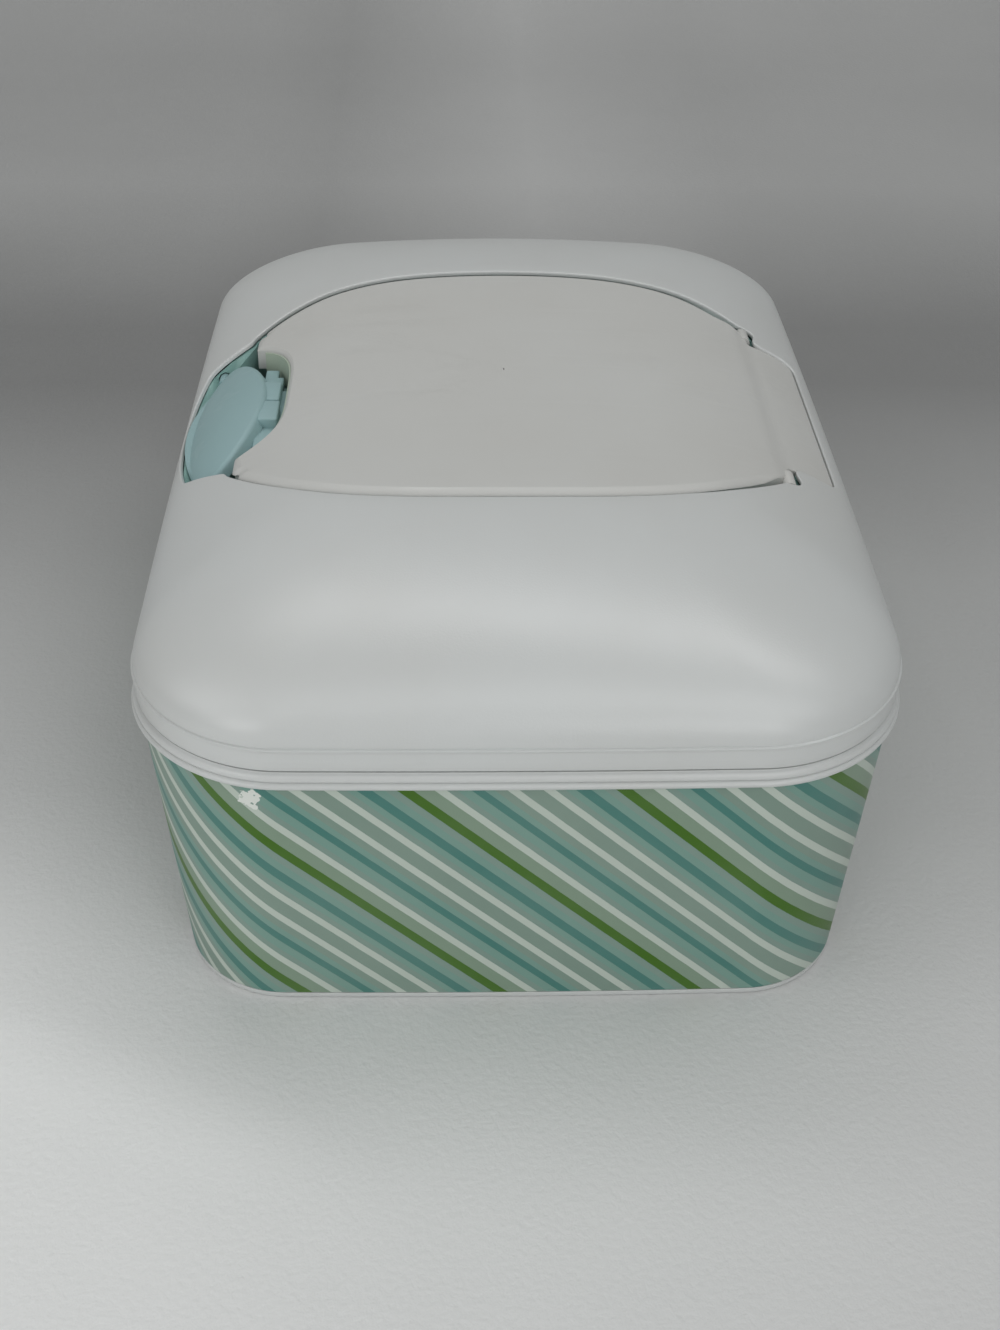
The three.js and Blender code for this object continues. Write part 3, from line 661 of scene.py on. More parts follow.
    def panel(self, count: int) -> Row:
        """Outline of the cover with notch and tail, from the middle of the right side.

        Args:
            count: Number of places on it.

        Returns:
            The places.
        """
        turn = np.linspace(0, QUARTER, self.corner_steps)
        fine = np.linspace(0, 1, self.side_steps)
        end, half, inner = self.tail_end, self.tail_half_length, self.tail_corner
        heel_round, elbow_round, toe_round = self.heel_round, self.elbow_round, self.toe_round
        y = np.sin(fine * QUARTER) * (self.rear - heel_round)
        side = np.column_stack([self.half_at(y), y])
        shoulder = self.half_at(self.rear) - heel_round
        heel = arc(shoulder, self.rear - heel_round, heel_round, turn)
        elbow = np.column_stack([
            half + elbow_round - elbow_round * np.sin(turn),
            self.rear + elbow_round - elbow_round * np.cos(turn),
        ])
        tail = arc(half - inner, end - inner, inner, turn)
        right_rear = np.concatenate([side, heel, elbow, tail])
        tip = self.half_at(self.front) - toe_round
        toe = np.column_stack([
            tip + toe_round * np.sin(turn), -self.front + toe_round * (1 - np.cos(turn))
        ])
        y = -np.sin(fine[::-1] * QUARTER) * (self.front - toe_round)
        side = np.column_stack([self.half_at(y), y])
        right_front = np.concatenate([self.notch(fine), toe, side])
        left = np.concatenate([right_front, right_rear])[::-1] * [-1, 1]
        return evenly(np.concatenate([right_rear, left, right_front]), count)


COVER = CoverForm()

# ---------------------------------------------------------------- meshes


class RowSkin:
    """Skin that grows row by row: a ring of edges is extruded and moved to each new row."""

    def __init__(self, first: Row) -> None:
        """Starts from a circle of vertices moved to the first row.

        Args:
            first: Places of the first row.
        """
        self.mesh = bmesh.new()
        bmesh.ops.create_circle(self.mesh, segments=len(first), radius=1.0)
        self.row = list(self.mesh.verts)
        self.edges = list(self.mesh.edges)
        self.place(first)

    def place(self, places: Row) -> None:
        """Moves the newest row."""
        for vert, place in zip(self.row, places):
            vert.co = place

    def grow(self, *rows: Row) -> "RowSkin":
        """Extrudes the newest row once for each row given, and moves it there.

        Args:
            *rows: Places of the new rows.

        Returns:
            The skin itself.
        """
        for places in rows:
            made = bmesh.ops.extrude_edge_only(self.mesh, edges=self.edges)["geom"]
            fresh = {item for item in made if isinstance(item, bmesh.types.BMVert)}
            self.edges = [
                item
                for item in made
                if isinstance(item, bmesh.types.BMEdge) and set(item.verts) <= fresh
            ]
            self.row = [self.grown_from(vert, fresh) for vert in self.row]
            self.place(places)
        return self

    @staticmethod
    def grown_from(vert: bmesh.types.BMVert, fresh: set[bmesh.types.BMVert]) -> bmesh.types.BMVert:
        """The new vertex that was extruded from a vertex of the row before."""
        ends = (edge.other_vert(vert) for edge in vert.link_edges)
        return next(end for end in ends if end in fresh)

    def cap(self) -> "RowSkin":
        """Closes every open ring with a face."""
        bmesh.ops.holes_fill(self.mesh, edges=list(self.mesh.edges), sides=0)
        return self


def circle_row(radius: float, count: int, z: float, x: float = 0.0, y: float = 0.0) -> Row:
    """Level ring of places."""
    turn = np.linspace(0, math.tau, count, endpoint=False)
    return at_height(arc(x, y, radius, turn), z)


def bent(start: Row, corner: Row, end: Row, steps: int) -> list[Row]:
    """Rows of a rounded edge, after its start row, drawn towards a corner row."""
    shares = np.linspace(0, 1, steps + 1)[1:]
    return [start * (1 - t) ** 2 + corner * 2 * t * (1 - t) + end * t**2 for t in shares]


def finished(
    name: str,
    mesh: bmesh.types.BMesh,
    body: Body,
    material: bpy.types.Material,
    replaced: Sequence[str] = (),
    sharp: float = 38.0,
) -> bpy.types.Object:
    """Turns a mesh in millimetres into a piece that rides on its body.

    Args:
        name: Name of the piece.
        mesh: The mesh, which is freed.
        body: Body that carries it.
        material: Its material.
        replaced: Plain solids that the piece stands for.
        sharp: Angle in degrees above which an edge is drawn sharp.

    Returns:
        The new object.
    """
    bmesh.ops.remove_doubles(mesh, verts=list(mesh.verts), dist=MERGED)
    bmesh.ops.recalc_face_normals(mesh, faces=list(mesh.faces))
    bmesh.ops.scale(mesh, vec=(MM, MM, MM), verts=list(mesh.verts))
    for face in mesh.faces:
        face.smooth = True
    data = bpy.data.meshes.new(name)
    mesh.to_mesh(data)
    mesh.free()
    data.set_sharp_from_angle(angle=math.radians(sharp))
    piece = bpy.data.objects.new(name, data)
    bpy.context.scene.collection.objects.link(piece)
    data.materials.append(material)
    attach(piece, body.value)
    if replaced:
        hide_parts(*replaced)
    LOG.info("%s: %d faces on %s", name, len(data.polygons), body.value)
    return piece


# ---------------------------------------------------------------- finishes


class Graph:
    """Adds nodes to one tree and joins their sockets."""

    def __init__(self, tree: bpy.types.NodeTree) -> None:
        """Keeps the tree."""
        self.tree = tree

    def node(
        self, kind: str, values: Mapping[str | int, object] | None = None, **settings: object
    ) -> bpy.types.Node:
        """Adds a node.

        Args:
            kind: Type of the node.
            values: A value or a socket to link for each of its inputs.
            **settings: Its own settings.

        Returns:
            The node.
        """
        made = self.tree.nodes.new(kind)
        for name, value in settings.items():
            setattr(made, name, value)
        self.fill(made, values or {})
        return made

    def fill(self, node: bpy.types.Node, values: Mapping[str | int, object]) -> None:
        """Gives inputs of a node a value, or links a socket to them.

        Args:
            node: The node.
            values: A value or a socket for each input.
        """
        for name, value in values.items():
            if isinstance(value, Socket):
                self.tree.links.new(value, node.inputs[name])
            else:
                node.inputs[name].default_value = value

    def math(
        self, operation: str, first: object, second: object = 0.0, third: object = 0.0
    ) -> Socket:
        """Adds a sum on numbers and gives its result."""
        return self.node(
            "ShaderNodeMath", {0: first, 1: second, 2: third}, operation=operation
        ).outputs[0]

    def mix(self, factor: object, first: object, second: object) -> Socket:
        """Mixes two colours and gives the result."""
        return self.node(
            "ShaderNodeMix", {0: factor, 6: first, 7: second}, data_type="RGBA"
        ).outputs[2]

    def range(
        self, value: object, low: float, high: float, to_low: float, to_high: float
    ) -> Socket:
        """Maps a value from one range to another, held at the ends."""
        return self.node(
            "ShaderNodeMapRange", {0: value, 1: low, 2: high, 3: to_low, 4: to_high}
        ).outputs[0]

    def noise(self, place: Socket, scale: object, **detail: float) -> Socket:
        """Adds soft noise and gives its value."""
        values = {"Vector": place, "Scale": scale, **detail}
        return self.node("ShaderNodeTexNoise", values).outputs[0]

    def effect(self, kind: "Effect", values: Mapping[str, object]) -> bpy.types.Node:
        """Places the group of a shared effect."""
        return self.node("ShaderNodeGroup", values, node_tree=Effects.tree(kind))

    def bump(self, height: Socket, strength: float, depth: float = BUMP_HEIGHT) -> Socket:
        """Turns a height into a normal."""
        values = {"Height": height, "Distance": depth, "Strength": strength}
        return self.node("ShaderNodeBump", values).outputs["Normal"]


def dressed(name: str) -> tuple[bpy.types.Material, Graph, bpy.types.Node]:
    """Starts a material, and gives it with its graph and its shader.

    Args:
        name: Name of the material.

    Returns:
        The material, its graph and its shader.
    """
    material = bpy.data.materials.new(name)
    material.use_nodes = True
    shader = material.node_tree.nodes["Principled BSDF"]
    return material, Graph(material.node_tree), shader


class Effect(Enum):
    """Surface effects that several finishes share."""

    GRAIN = "mould_grain"
    MOTTLE = "soft_mottle"
    SPECKS = "stray_specks"
    STREAKS = "rubbed_streaks"


class Effects:
    """Builds each shared effect once, as a group of nodes."""

    wide_scale = 0.03
    fine_share = 0.35
    mottle_range = (0.35, 0.7)
    streak_stretch = (1.0, 0.06, 1.0)
    streak_edge = 0.06
    inputs = {
        Effect.GRAIN: (
            ("Place", "Vector"), ("Scale", "Float"), ("Low", "Float"), ("High", "Float"),
        ),
        Effect.MOTTLE: (
            ("Place", "Vector"), ("Scale", "Float"), ("Amount", "Float"), ("Colour", "Color"),
            ("Shade", "Color"),
        ),
        Effect.SPECKS: (
            ("Place", "Vector"), ("Scale", "Float"), ("Share", "Float"), ("Radius", "Float"),
        ),
        Effect.STREAKS: (("Place", "Vector"), ("Scale", "Float"), ("Cut", "Float")),
    }
    outputs = {
        Effect.GRAIN: (("Height", "Float"), ("Roughness", "Float")),
        Effect.MOTTLE: (("Colour", "Color"),),
        Effect.SPECKS: (("Mask", "Float"),),
        Effect.STREAKS: (("Mask", "Float"),),
    }

    @classmethod
    def tree(cls, effect: Effect) -> bpy.types.NodeTree:
        """Gives the group of an effect, built on its first use.

        Args:
            effect: The effect.

        Returns:
            Its group.
        """
        known = bpy.data.node_groups.get(effect.value)
        if known:
            return known
        tree = bpy.data.node_groups.new(effect.value, "ShaderNodeTree")
        for way, sockets in (("INPUT", cls.inputs[effect]), ("OUTPUT", cls.outputs[effect])):
            for name, kind in sockets:
                tree.interface.new_socket(name, in_out=way, socket_type="NodeSocket" + kind)
        graph = Graph(tree)
        start = graph.node("NodeGroupInput").outputs
        results = getattr(cls, effect.value)(graph, start)
        graph.node("NodeGroupOutput", results)
        return tree

    @classmethod
    def mould_grain(cls, graph: Graph, start: bpy.types.bpy_prop_collection) -> dict[str, object]:
        """Fine grain of the mould, with patches that are a little duller.

        Args:
            graph: The group's graph.
            start: The group's inputs.

        Returns:
            The group's outputs.
        """
        fine = graph.noise(start["Place"], start["Scale"], Detail=3.0)
        coarse = graph.math("MULTIPLY", start["Scale"], cls.wide_scale)
        wide = graph.noise(start["Place"], coarse, Detail=2.0)
        patches = graph.math("MULTIPLY", wide, 1 - cls.fine_share)
        both = graph.math("MULTIPLY_ADD", fine, cls.fine_share, patches)
        span = graph.math("SUBTRACT", start["High"], start["Low"])
        rough = graph.math("MULTIPLY_ADD", both, span, start["Low"])
        return {"Height": fine, "Roughness": rough}

    @classmethod
    def soft_mottle(cls, graph: Graph, start: bpy.types.bpy_prop_collection) -> dict[str, object]:
        """Broad, faint changes of colour.

        Args:
            graph: The group's graph.
            start: The group's inputs.

        Returns:
            The group's outputs.
        """
        noise = graph.noise(start["Place"], start["Scale"], Detail=4.0)
        clouds = graph.range(noise, *cls.mottle_range, 0.0, 1.0)
        share = graph.math("MULTIPLY", clouds, start["Amount"])
        return {"Colour": graph.mix(share, start["Colour"], start["Shade"])}

    @classmethod
    def stray_specks(cls, graph: Graph, start: bpy.types.bpy_prop_collection) -> dict[str, object]:
        """Small specks, each in a cell of its own, most cells left empty.

        Args:
            graph: The group's graph.
            start: The group's inputs.

        Returns:
            The group's outputs.
        """
        cells = graph.node(
            "ShaderNodeTexVoronoi", {"Vector": start["Place"], "Scale": start["Scale"]}
        )
        chosen = graph.math("LESS_THAN", cells.outputs["Color"], start["Share"])
        near = graph.math("LESS_THAN", cells.outputs["Distance"], start["Radius"])
        return {"Mask": graph.math("MULTIPLY", chosen, near)}

    @classmethod
    def rubbed_streaks(
        cls, graph: Graph, start: bpy.types.bpy_prop_collection
    ) -> dict[str, object]:
        """Thin rubbed lines along Y.

        Args:
            graph: The group's graph.
            start: The group's inputs.

        Returns:
            The group's outputs.
        """
        drawn = graph.node(
            "ShaderNodeMapping", {"Vector": start["Place"], "Scale": cls.streak_stretch}
        ).outputs[0]
        noise = graph.noise(drawn, start["Scale"], Detail=2.0)
        over = graph.math("SUBTRACT", noise, start["Cut"])
        return {"Mask": graph.range(over, 0.0, cls.streak_edge, 0.0, 1.0)}


@dataclass(frozen=True)
class PlasticFinish:
    """Satin moulded plastic or rubber, with grain, faint mottling and stray specks."""

    name: str
    colour: Colour
    shade: Colour
    roughness: tuple[float, float] = (0.42, 0.54)
    grain_scale: float = 2600.0
    grain_strength: float = 0.12
    mottle: float = 0.5
    mottle_scale: float = 22.0
    speck_share: float = 0.05
    speck_scale: float = 70.0
    speck_radius: float = 0.022
    speck_dusk: float = 0.45
    speck_cover: float = 0.7
    specular: float = 0.5
    rubbed: float = 0.0
    rub_scale: float = 260.0
    rub_cut: float = 0.6
    metallic: float = 0.0

    def build(self) -> bpy.types.Material:
        """Makes the material.

        Returns:
            The material.
        """
        material, graph, shader = dressed(self.name)
        place = graph.node("ShaderNodeTexCoord").outputs["Object"]
        clouds = graph.effect(Effect.MOTTLE, {
            "Place": place,
            "Scale": self.mottle_scale,
            "Amount": self.mottle,
            "Colour": (*self.colour, 1),
            "Shade": (*self.shade, 1),
        })
        specks = graph.effect(Effect.SPECKS, {
            "Place": place,
            "Scale": self.speck_scale,
            "Share": self.speck_share,
            "Radius": self.speck_radius,
        })
        dusk = tuple(channel * self.speck_dusk for channel in self.colour)
        cover = graph.math("MULTIPLY", specks.outputs["Mask"], self.speck_cover)
        low, high = self.roughness
        grain = graph.effect(
            Effect.GRAIN, {"Place": place, "Scale": self.grain_scale, "Low": low, "High": high}
        )
        rough = grain.outputs["Roughness"]
        if self.rubbed:
            streaks = graph.effect(
                Effect.STREAKS, {"Place": place, "Scale": self.rub_scale, "Cut": self.rub_cut}
            )
            rough = graph.math("MULTIPLY_ADD", streaks.outputs["Mask"], -self.rubbed, rough)
        graph.fill(shader, {
            "Base Color": graph.mix(cover, clouds.outputs["Colour"], (*dusk, 1)),
            "Roughness": rough,
            "Normal": graph.bump(grain.outputs["Height"], self.grain_strength),
            "Specular IOR Level": self.specular,
            "Metallic": self.metallic,
        })
        return material


@dataclass(frozen=True)
class StripeFinish:
    """Printed diagonal stripes on the sleeve, with a chip and small nicks in the print."""

    name: str = "printed_stripes"
    period: float = 36.55
    phase: float = 34.26
    whole_turns: int = 40
    green: Colour = linear(62, 106, 6)
    grass_grey: Colour = linear(129, 151, 131)
    pale: Colour = linear(189, 200, 190)
    grey_teal: Colour = linear(127, 151, 141)
    light_teal: Colour = linear(118, 154, 143)
    deep_teal: Colour = linear(69, 124, 116)
    sage: Colour = linear(127, 149, 137)
    bare_film: Colour = linear(222, 226, 220)
    wobble: float = 0.0016
    wobble_scale: float = 30.0
    chip_place: tuple[float, float] = (-45.6, 52.6)
    chip_radius: float = 1.9
    chip_scale: float = 90.0
    nick_scale: float = 9.0
    nick_share: float = 0.1
    nick_radius: float = 0.035
    fade_scale: float = 3.0
    fade: float = 0.1
    grain_scale: float = 260.0
    grain_strength: float = 0.08
    roughness: tuple[float, float] = (0.34, 0.5)
    film_depth: float = 3.0
    specular: float = 0.3

    def stops(self) -> tuple[tuple[float, Colour], ...]:
        """Where each stripe starts, as a share of the period.

        Returns:
            The start and the colour of each stripe.
        """
        return (
            (0.0, self.green),
            (0.072, self.grass_grey),
            (0.168, self.pale),
            (0.226, self.grey_teal),
            (0.272, self.light_teal),
            (0.338, self.deep_teal),
            (0.398, self.light_teal),
            (0.444, self.sage),
            (0.502, self.pale),
            (0.555, self.sage),
            (0.665, self.pale),
            (0.721, self.grey_teal),
            (0.766, self.light_teal),
            (0.816, self.deep_teal),
            (0.884, self.light_teal),
            (0.944, self.grey_teal),
        )

    def build(self) -> bpy.types.Material:
        """Makes the material, which reads the sleeve's own map in tenths of a metre.

        Returns:
            The material.
        """
        material, graph, shader = dressed(self.name)
        sheet = graph.node("ShaderNodeTexCoord").outputs["UV"]
        axes = graph.node("ShaderNodeSeparateXYZ", {0: sheet}).outputs
        slanted = graph.math("ADD", axes[0], axes[1])
        wobble = graph.noise(sheet, self.wobble_scale)
        shifted = graph.math("MULTIPLY_ADD", wobble, self.wobble, slanted)
        turns = graph.math(
            "MULTIPLY_ADD", shifted, MAP_UNIT / self.period,
            self.whole_turns - self.phase / self.period,
        )
        stripes = graph.node("ShaderNodeValToRGB", {0: graph.math("FRACT", turns)})
        ramp = stripes.color_ramp
        ramp.interpolation = "CONSTANT"
        stops = self.stops()
        while len(ramp.elements) < len(stops):
            ramp.elements.new(0.99)
        for element, (position, colour) in zip(ramp.elements, stops):
            element.position = position
            element.color = (*colour, 1)
        nicks = graph.effect(Effect.SPECKS, {
            "Place": sheet,
            "Scale": self.nick_scale,
            "Share": self.nick_share,
            "Radius": self.nick_radius,
        })
        bare = graph.math("MAXIMUM", self.chip(graph, sheet), nicks.outputs["Mask"])
        faded = graph.effect(Effect.MOTTLE, {
            "Place": sheet,
            "Colour": stripes.outputs[0],
            "Scale": self.fade_scale,
            "Amount": self.fade,
            "Shade": (*self.pale, 1),
        })
        low, high = self.roughness
        grain = graph.effect(
            Effect.GRAIN, {"Place": sheet, "Scale": self.grain_scale, "Low": low, "High": high}
        )
        height = graph.math("MULTIPLY_ADD", bare, -self.film_depth, grain.outputs["Height"])
        graph.fill(shader, {
            "Base Color": graph.mix(bare, faded.outputs[0], (*self.bare_film, 1)),
            "Roughness": grain.outputs["Roughness"],
            "Normal": graph.bump(height, self.grain_strength),
            "Specular IOR Level": self.specular,
        })
        return material

    def chip(self, graph: Graph, sheet: Socket) -> Socket:
        """Ragged patch where the print has come off near the top edge.

        Args:
            graph: The material's graph.
            sheet: The sleeve's map.

        Returns:
            One in the patch, zero outside it.
        """
        ragged = graph.noise(sheet, self.chip_scale, Detail=3.0)
        centre = (*(value / MAP_UNIT for value in self.chip_place), 0.0)
        away = graph.node(
            "ShaderNodeVectorMath", {0: sheet, 1: centre}, operation="DISTANCE"
        ).outputs["Value"]
        edge = graph.range(ragged, 0.3, 0.7, 0.4, 1.5)
        reach = graph.math("MULTIPLY", edge, self.chip_radius / MAP_UNIT)
        return graph.math("LESS_THAN", away, reach)


@dataclass(frozen=True)
class Falloff:
    """Painted shade on the cloth, changing along X or Y between two places in metres."""

    axis: int
    start: float
    end: float
    low: float
    high: float

    def shade(self, graph: Graph, axes: bpy.types.bpy_prop_collection) -> Socket:
        """Adds the change and gives the shade."""
        return graph.range(axes[self.axis], self.start, self.end, self.low, self.high)


@dataclass(frozen=True)
class ClothFinish:
    """Pale cloth of the floor and the backdrop, with painted shade and painted shadow where soft
    light would leave them.
    """

    name: str = "pale_cloth"
    colour: Colour = linear(246, 247, 246)
    # Painted shade: darker from just in front of the container backwards, then lighter again
    # farther back.
    behind: Falloff = Falloff(0, 0.1, -0.16, 0.0, 0.47)
    risen: Falloff = Falloff(0, -0.2, -0.33, 0.0, -0.18)
    # Painted shadow: darker towards +Y, most of all at the front.
    aside: tuple[Falloff, Falloff] = (
        Falloff(1, -0.1, 0.1, 0.0, 0.26), Falloff(0, -0.05, 0.04, 0.65, 1.0),
    )
    # Painted shade on the -Y side, from just in front of the container backwards.
    left: tuple[Falloff, Falloff] = (
        Falloff(0, 0.1, 0.03, 0.0, 0.2), Falloff(1, 0.02, -0.06, 0.0, 1.0),
    )
    cloud_scale: float = 5.0
    clouds: float = 0.1
    dust_scale: float = 28.0
    dust_share: float = 0.12
    dust_radius: float = 0.02
    dust_dark: float = 0.3
    weave_scale: float = 700.0
    weave_depth: float = 0.0005
    weave_strength: float = 0.35
    fold_height: float = 18.0
    roughness: float = 0.9
    specular: float = 0.15

    def build(self) -> bpy.types.Material:
        """Makes the material.

        Returns:
            The material.
        """
        material, graph, shader = dressed(self.name)
        place = graph.node("ShaderNodeTexCoord").outputs["Object"]
        axes = graph.node("ShaderNodeSeparateXYZ", {0: place}).outputs
        # The painted shade from the falloffs darkens the cloth's colour towards black.
        aside, left = (
            graph.math("MULTIPLY", first.shade(graph, axes), second.shade(graph, axes))
            for first, second in (self.aside, self.left)
        )
        behind, risen = self.behind.shade(graph, axes), self.risen.shade(graph, axes)
        lengthwise = graph.math("ADD", behind, risen)
        shade = graph.math("ADD", lengthwise, graph.math("ADD", aside, left))
        broad = graph.noise(place, self.cloud_scale, Detail=4.0)
        clouded = graph.math("MULTIPLY_ADD", broad, self.clouds, shade)
        dust = graph.effect(Effect.SPECKS, {
            "Place": place,
            "Scale": self.dust_scale,
            "Share": self.dust_share,
            "Radius": self.dust_radius,
        })
        share = graph.math("MULTIPLY_ADD", dust.outputs["Mask"], self.dust_dark, clouded)
        weave = graph.noise(place, self.weave_scale, Detail=2.0)
        folds = graph.math("MULTIPLY_ADD", broad, self.fold_height, weave)
        graph.fill(shader, {
            "Base Color": graph.mix(share, (*self.colour, 1), (0.0, 0.0, 0.0, 1)),
            "Normal": graph.bump(folds, self.weave_strength, self.weave_depth),
            "Roughness": self.roughness,
            "Specular IOR Level": self.specular,
        })
        return material


@dataclass(frozen=True)
class Palette:
    """Every finish of the container."""

    white: PlasticFinish = PlasticFinish(
        "satin_white", linear(206, 209, 208), linear(198, 199, 196), (0.3, 0.4),
        speck_share=0.07, specular=0.75,
    )
    cover_white: PlasticFinish = PlasticFinish(
        "warm_satin_white", linear(203, 204, 201), linear(196, 195, 190), (0.42, 0.54),
        rubbed=0.14,
    )
    natural: PlasticFinish = PlasticFinish(
        "natural_plastic", linear(181, 194, 177), linear(172, 185, 166), (0.3, 0.45)
    )
    teal: PlasticFinish = PlasticFinish(
        "frame_teal", linear(143, 181, 175), linear(131, 170, 162), (0.36, 0.5)
    )
    button_teal: PlasticFinish = PlasticFinish(
        "button_teal", linear(154, 184, 187), linear(144, 176, 176), (0.4, 0.55), rubbed=0.12
    )
    rubber: PlasticFinish = PlasticFinish(
        "soft_teal", linear(112, 154, 149), linear(99, 141, 134), (0.62, 0.8),
        grain_strength=0.3,
    )
    steel: PlasticFinish = PlasticFinish(
        "spring_wire", linear(181, 182, 184), linear(153, 153, 154), (0.22, 0.36), metallic=1.0
    )


# ---------------------------------------------------------------- the container


@dataclass
class TubAssembly:
    """Tub with its foot, wall, rolled flange and neck, and the printed sleeve round it."""

    palette: Palette
    foot_corner: float = 19.2
    top_z: float = 55.7
    top_inset: float = 1.4
    draft: float = 4.5
    wall: float = 2.0
    foot_round: float = 0.9
    foot_width: float = 3.0
    foot_recess: float = 1.2
    foot_fillet: float = 0.5
    floor_top: float = 3.0
    floor_round: float = 6.0
    step_round: float = 0.12
    stand_off: float = 0.55
    beads: tuple[tuple[tuple[float, float], tuple[float, float], float], ...] = (
        ((1.05, 55.74), (0.72, 57.35), 0.88),
        ((0.72, 57.4), (0.95, 59.0), 0.5),
    )
    flange_inset: float = 1.15
    flange_top: float = 59.2
    neck_inset: float = 2.4
    neck_wall: float = 1.0
    neck_top: float = 62.6
    neck_edge: float = 0.4
    snap_height: float = 0.8
    snap_swell: float = 0.25
    sleeve_low: float = 1.8
    sleeve_high: float = 55.2
    sleeve_thickness: float = 0.25
    sleeve_rows: int = 13
    gap: float = 0.3
    columns: int = 480
    seam_share: float = 3.5
    shares: Row = field(init=False)

    def __post_init__(self) -> None:
        """Spaces the columns evenly from the middle of the far end."""
        self.shares = LARGEST.even_shares(self.columns, self.seam_share)

    def plan(self, inset: float, corner: float) -> RoundedPlan:
        """Outline at an inset from the container's largest one."""
        return RoundedPlan(LARGEST.half_x - inset, LARGEST.half_y - inset, corner, LARGEST.bow)

    def ring(self, inset: float, z: float, corner: float | None = None) -> Row:
        """Level row at an inset."""
        corner = LARGEST.corner - inset if corner is None else corner
        return at_height(self.plan(inset, corner).points(self.shares), z)

    def wall_plan(self, z: float, inward: float = 0.0) -> RoundedPlan:
        """Outline of the drafted wall at a height, or a distance inside it.

        Args:
            z: The height.
            inward: The distance.

        Returns:
            The outline.
        """
        share = z / self.top_z
        inset = self.top_inset + self.draft * (1 - share)
        widest = LARGEST.corner - self.top_inset
        corner = self.foot_corner + (widest - self.foot_corner) * share
        return self.plan(inset + inward, corner - inward)

    def wall_ring(self, z: float, inward: float = 0.0) -> Row:
        """Level row on the drafted wall, or a distance inside it."""
        return at_height(self.wall_plan(z, inward).points(self.shares), z)

    def bead(self, low: tuple[float, float], high: tuple[float, float], out: float) -> list[Row]:
        """Rows of a rounded bead.

        Args:
            low: Inset and height of its lower end.
            high: Inset and height of its upper end.
            out: How far it swells out between them.

        Returns:
            The rows after its lower end.
        """
        rows = []
        for turn in np.linspace(0, math.pi, 9)[1:]:
            share = (1 - math.cos(turn)) / 2
            inset = low[0] + (high[0] - low[0]) * share - out * math.sin(turn)
            rows.append(self.ring(inset, low[1] + (high[1] - low[1]) * share))
        return rows

    def edge(
        self, places: Sequence[tuple[float, float]], corner: float | None, steps: int
    ) -> list[Row]:
        """Rows of a rounded edge, from the inset and height of its start, corner and end."""
        return bent(*(self.ring(inset, z, corner) for inset, z in places), steps)

    def foot_rows(self) -> list[Row]:
        """Rows from the recess under the tub round the foot to the wall.

        Returns:
            The rows.
        """
        recess, fillet = self.foot_recess, self.foot_fillet
        outer = self.top_inset + self.draft + self.foot_round
        inner = outer + self.foot_width
        corner = self.foot_corner - self.foot_round
        rows = [self.ring(inner + recess, recess, corner)]
        rows += self.edge(((inner + 0.6, recess), (inner, recess), (inner, fillet)), corner, 3)
        rows += self.edge(((inner, 0.4), (inner, 0), (inner - fillet, 0)), corner, 3)
        start = self.ring(outer, 0, corner)
        return rows + bent(start, self.wall_ring(0), self.wall_ring(self.foot_round), 6)

    def wall_rows(self) -> list[Row]:
        """Rows up the wall, with the shallow recess that the sleeve lies in.

        Returns:
            The rows.
        """
        low, high, step = self.sleeve_low - self.gap, self.sleeve_high + self.gap, self.step_round
        places = (
            (low - step, 0), (low, step), (low, self.stand_off),
            (high, self.stand_off), (high, step), (high + step, 0),
        )
        return [self.wall_ring(z, inward) for z, inward in places]

    def neck_rows(self) -> list[Row]:
        """Rows from the flange up the neck, with its snap bead, and down its inside.

        Returns:
            The rows.
        """
        inset, top, edge = self.neck_inset, self.neck_top, self.neck_edge
        inner = inset + self.neck_wall
        snap_low = top - edge - self.snap_height
        rows = [
            self.ring(self.flange_inset, self.flange_top),
            self.ring(inset, self.flange_top),
            self.ring(inset, snap_low - 0.1),
        ]
        rows += self.bead((inset, snap_low), (inset, top - edge), self.snap_swell)
        rows += self.edge(((inset, top - edge), (inset, top), (inset + edge, top)), None, 3)
        rows += self.edge(((inner - 0.3, top), (inner, top), (inner, top - 0.3)), None, 3)
        return rows + [self.ring(inner, self.flange_top)]

    def build_shell(self) -> None:
        """Makes the tub itself."""
        first, *rows = self.foot_rows()
        skin = RowSkin(first).grow(*rows, *self.wall_rows(), self.ring(self.top_inset, self.top_z))
        for low, high, out in self.beads:
            skin.grow(*self.bead(low, high, out))
        skin.grow(*self.neck_rows(), self.wall_ring(self.top_z, self.wall))
        floor, turn_in = self.floor_top, self.floor_round
        middle = self.ring(
            self.top_inset + self.draft + self.wall + turn_in, floor, self.foot_corner - turn_in
        )
        skin.grow(*bent(
            self.wall_ring(floor + turn_in, self.wall), self.wall_ring(floor, self.wall), middle, 7
        ))
        finished(
            "tub_body", skin.cap().mesh, Body.TUB, self.palette.white.build(),
            ["tub_shell"],
        )

    def map_sheet(self, mesh: bmesh.types.BMesh) -> None:
        """Gives the sleeve a map, in tenths of a metre round it and up it.

        Args:
            mesh: The sleeve, in millimetres.
        """
        sheet = mesh.loops.layers.uv.new("sheet")
        fine = np.linspace(0, ROUND, 2001)
        girths: dict[float, Row] = {}
        for face in mesh.faces:
            around = []
            for loop in face.loops:
                x, y, z = loop.vert.co
                plan, level = self.wall_plan(z), round(z, 3)
                if level not in girths:
                    girths[level] = travelled(plan.points((fine + self.seam_share) % ROUND))
                travel = girths[level]
                share = plan.shares_of(np.array([[x, y]]))[0]
                along = np.interp((share - self.seam_share) % ROUND, fine, travel)
                around.append(float(along) - travel[-1] / 2)
            if max(around) - min(around) > LARGEST.half_x:
                # A face at the seam: its near corners belong to the end of the round.
                around = [value + travel[-1] if value < 0 else value for value in around]
            for loop, value in zip(face.loops, around):
                loop[sheet].uv = (value / MAP_UNIT, loop.vert.co.z / MAP_UNIT)

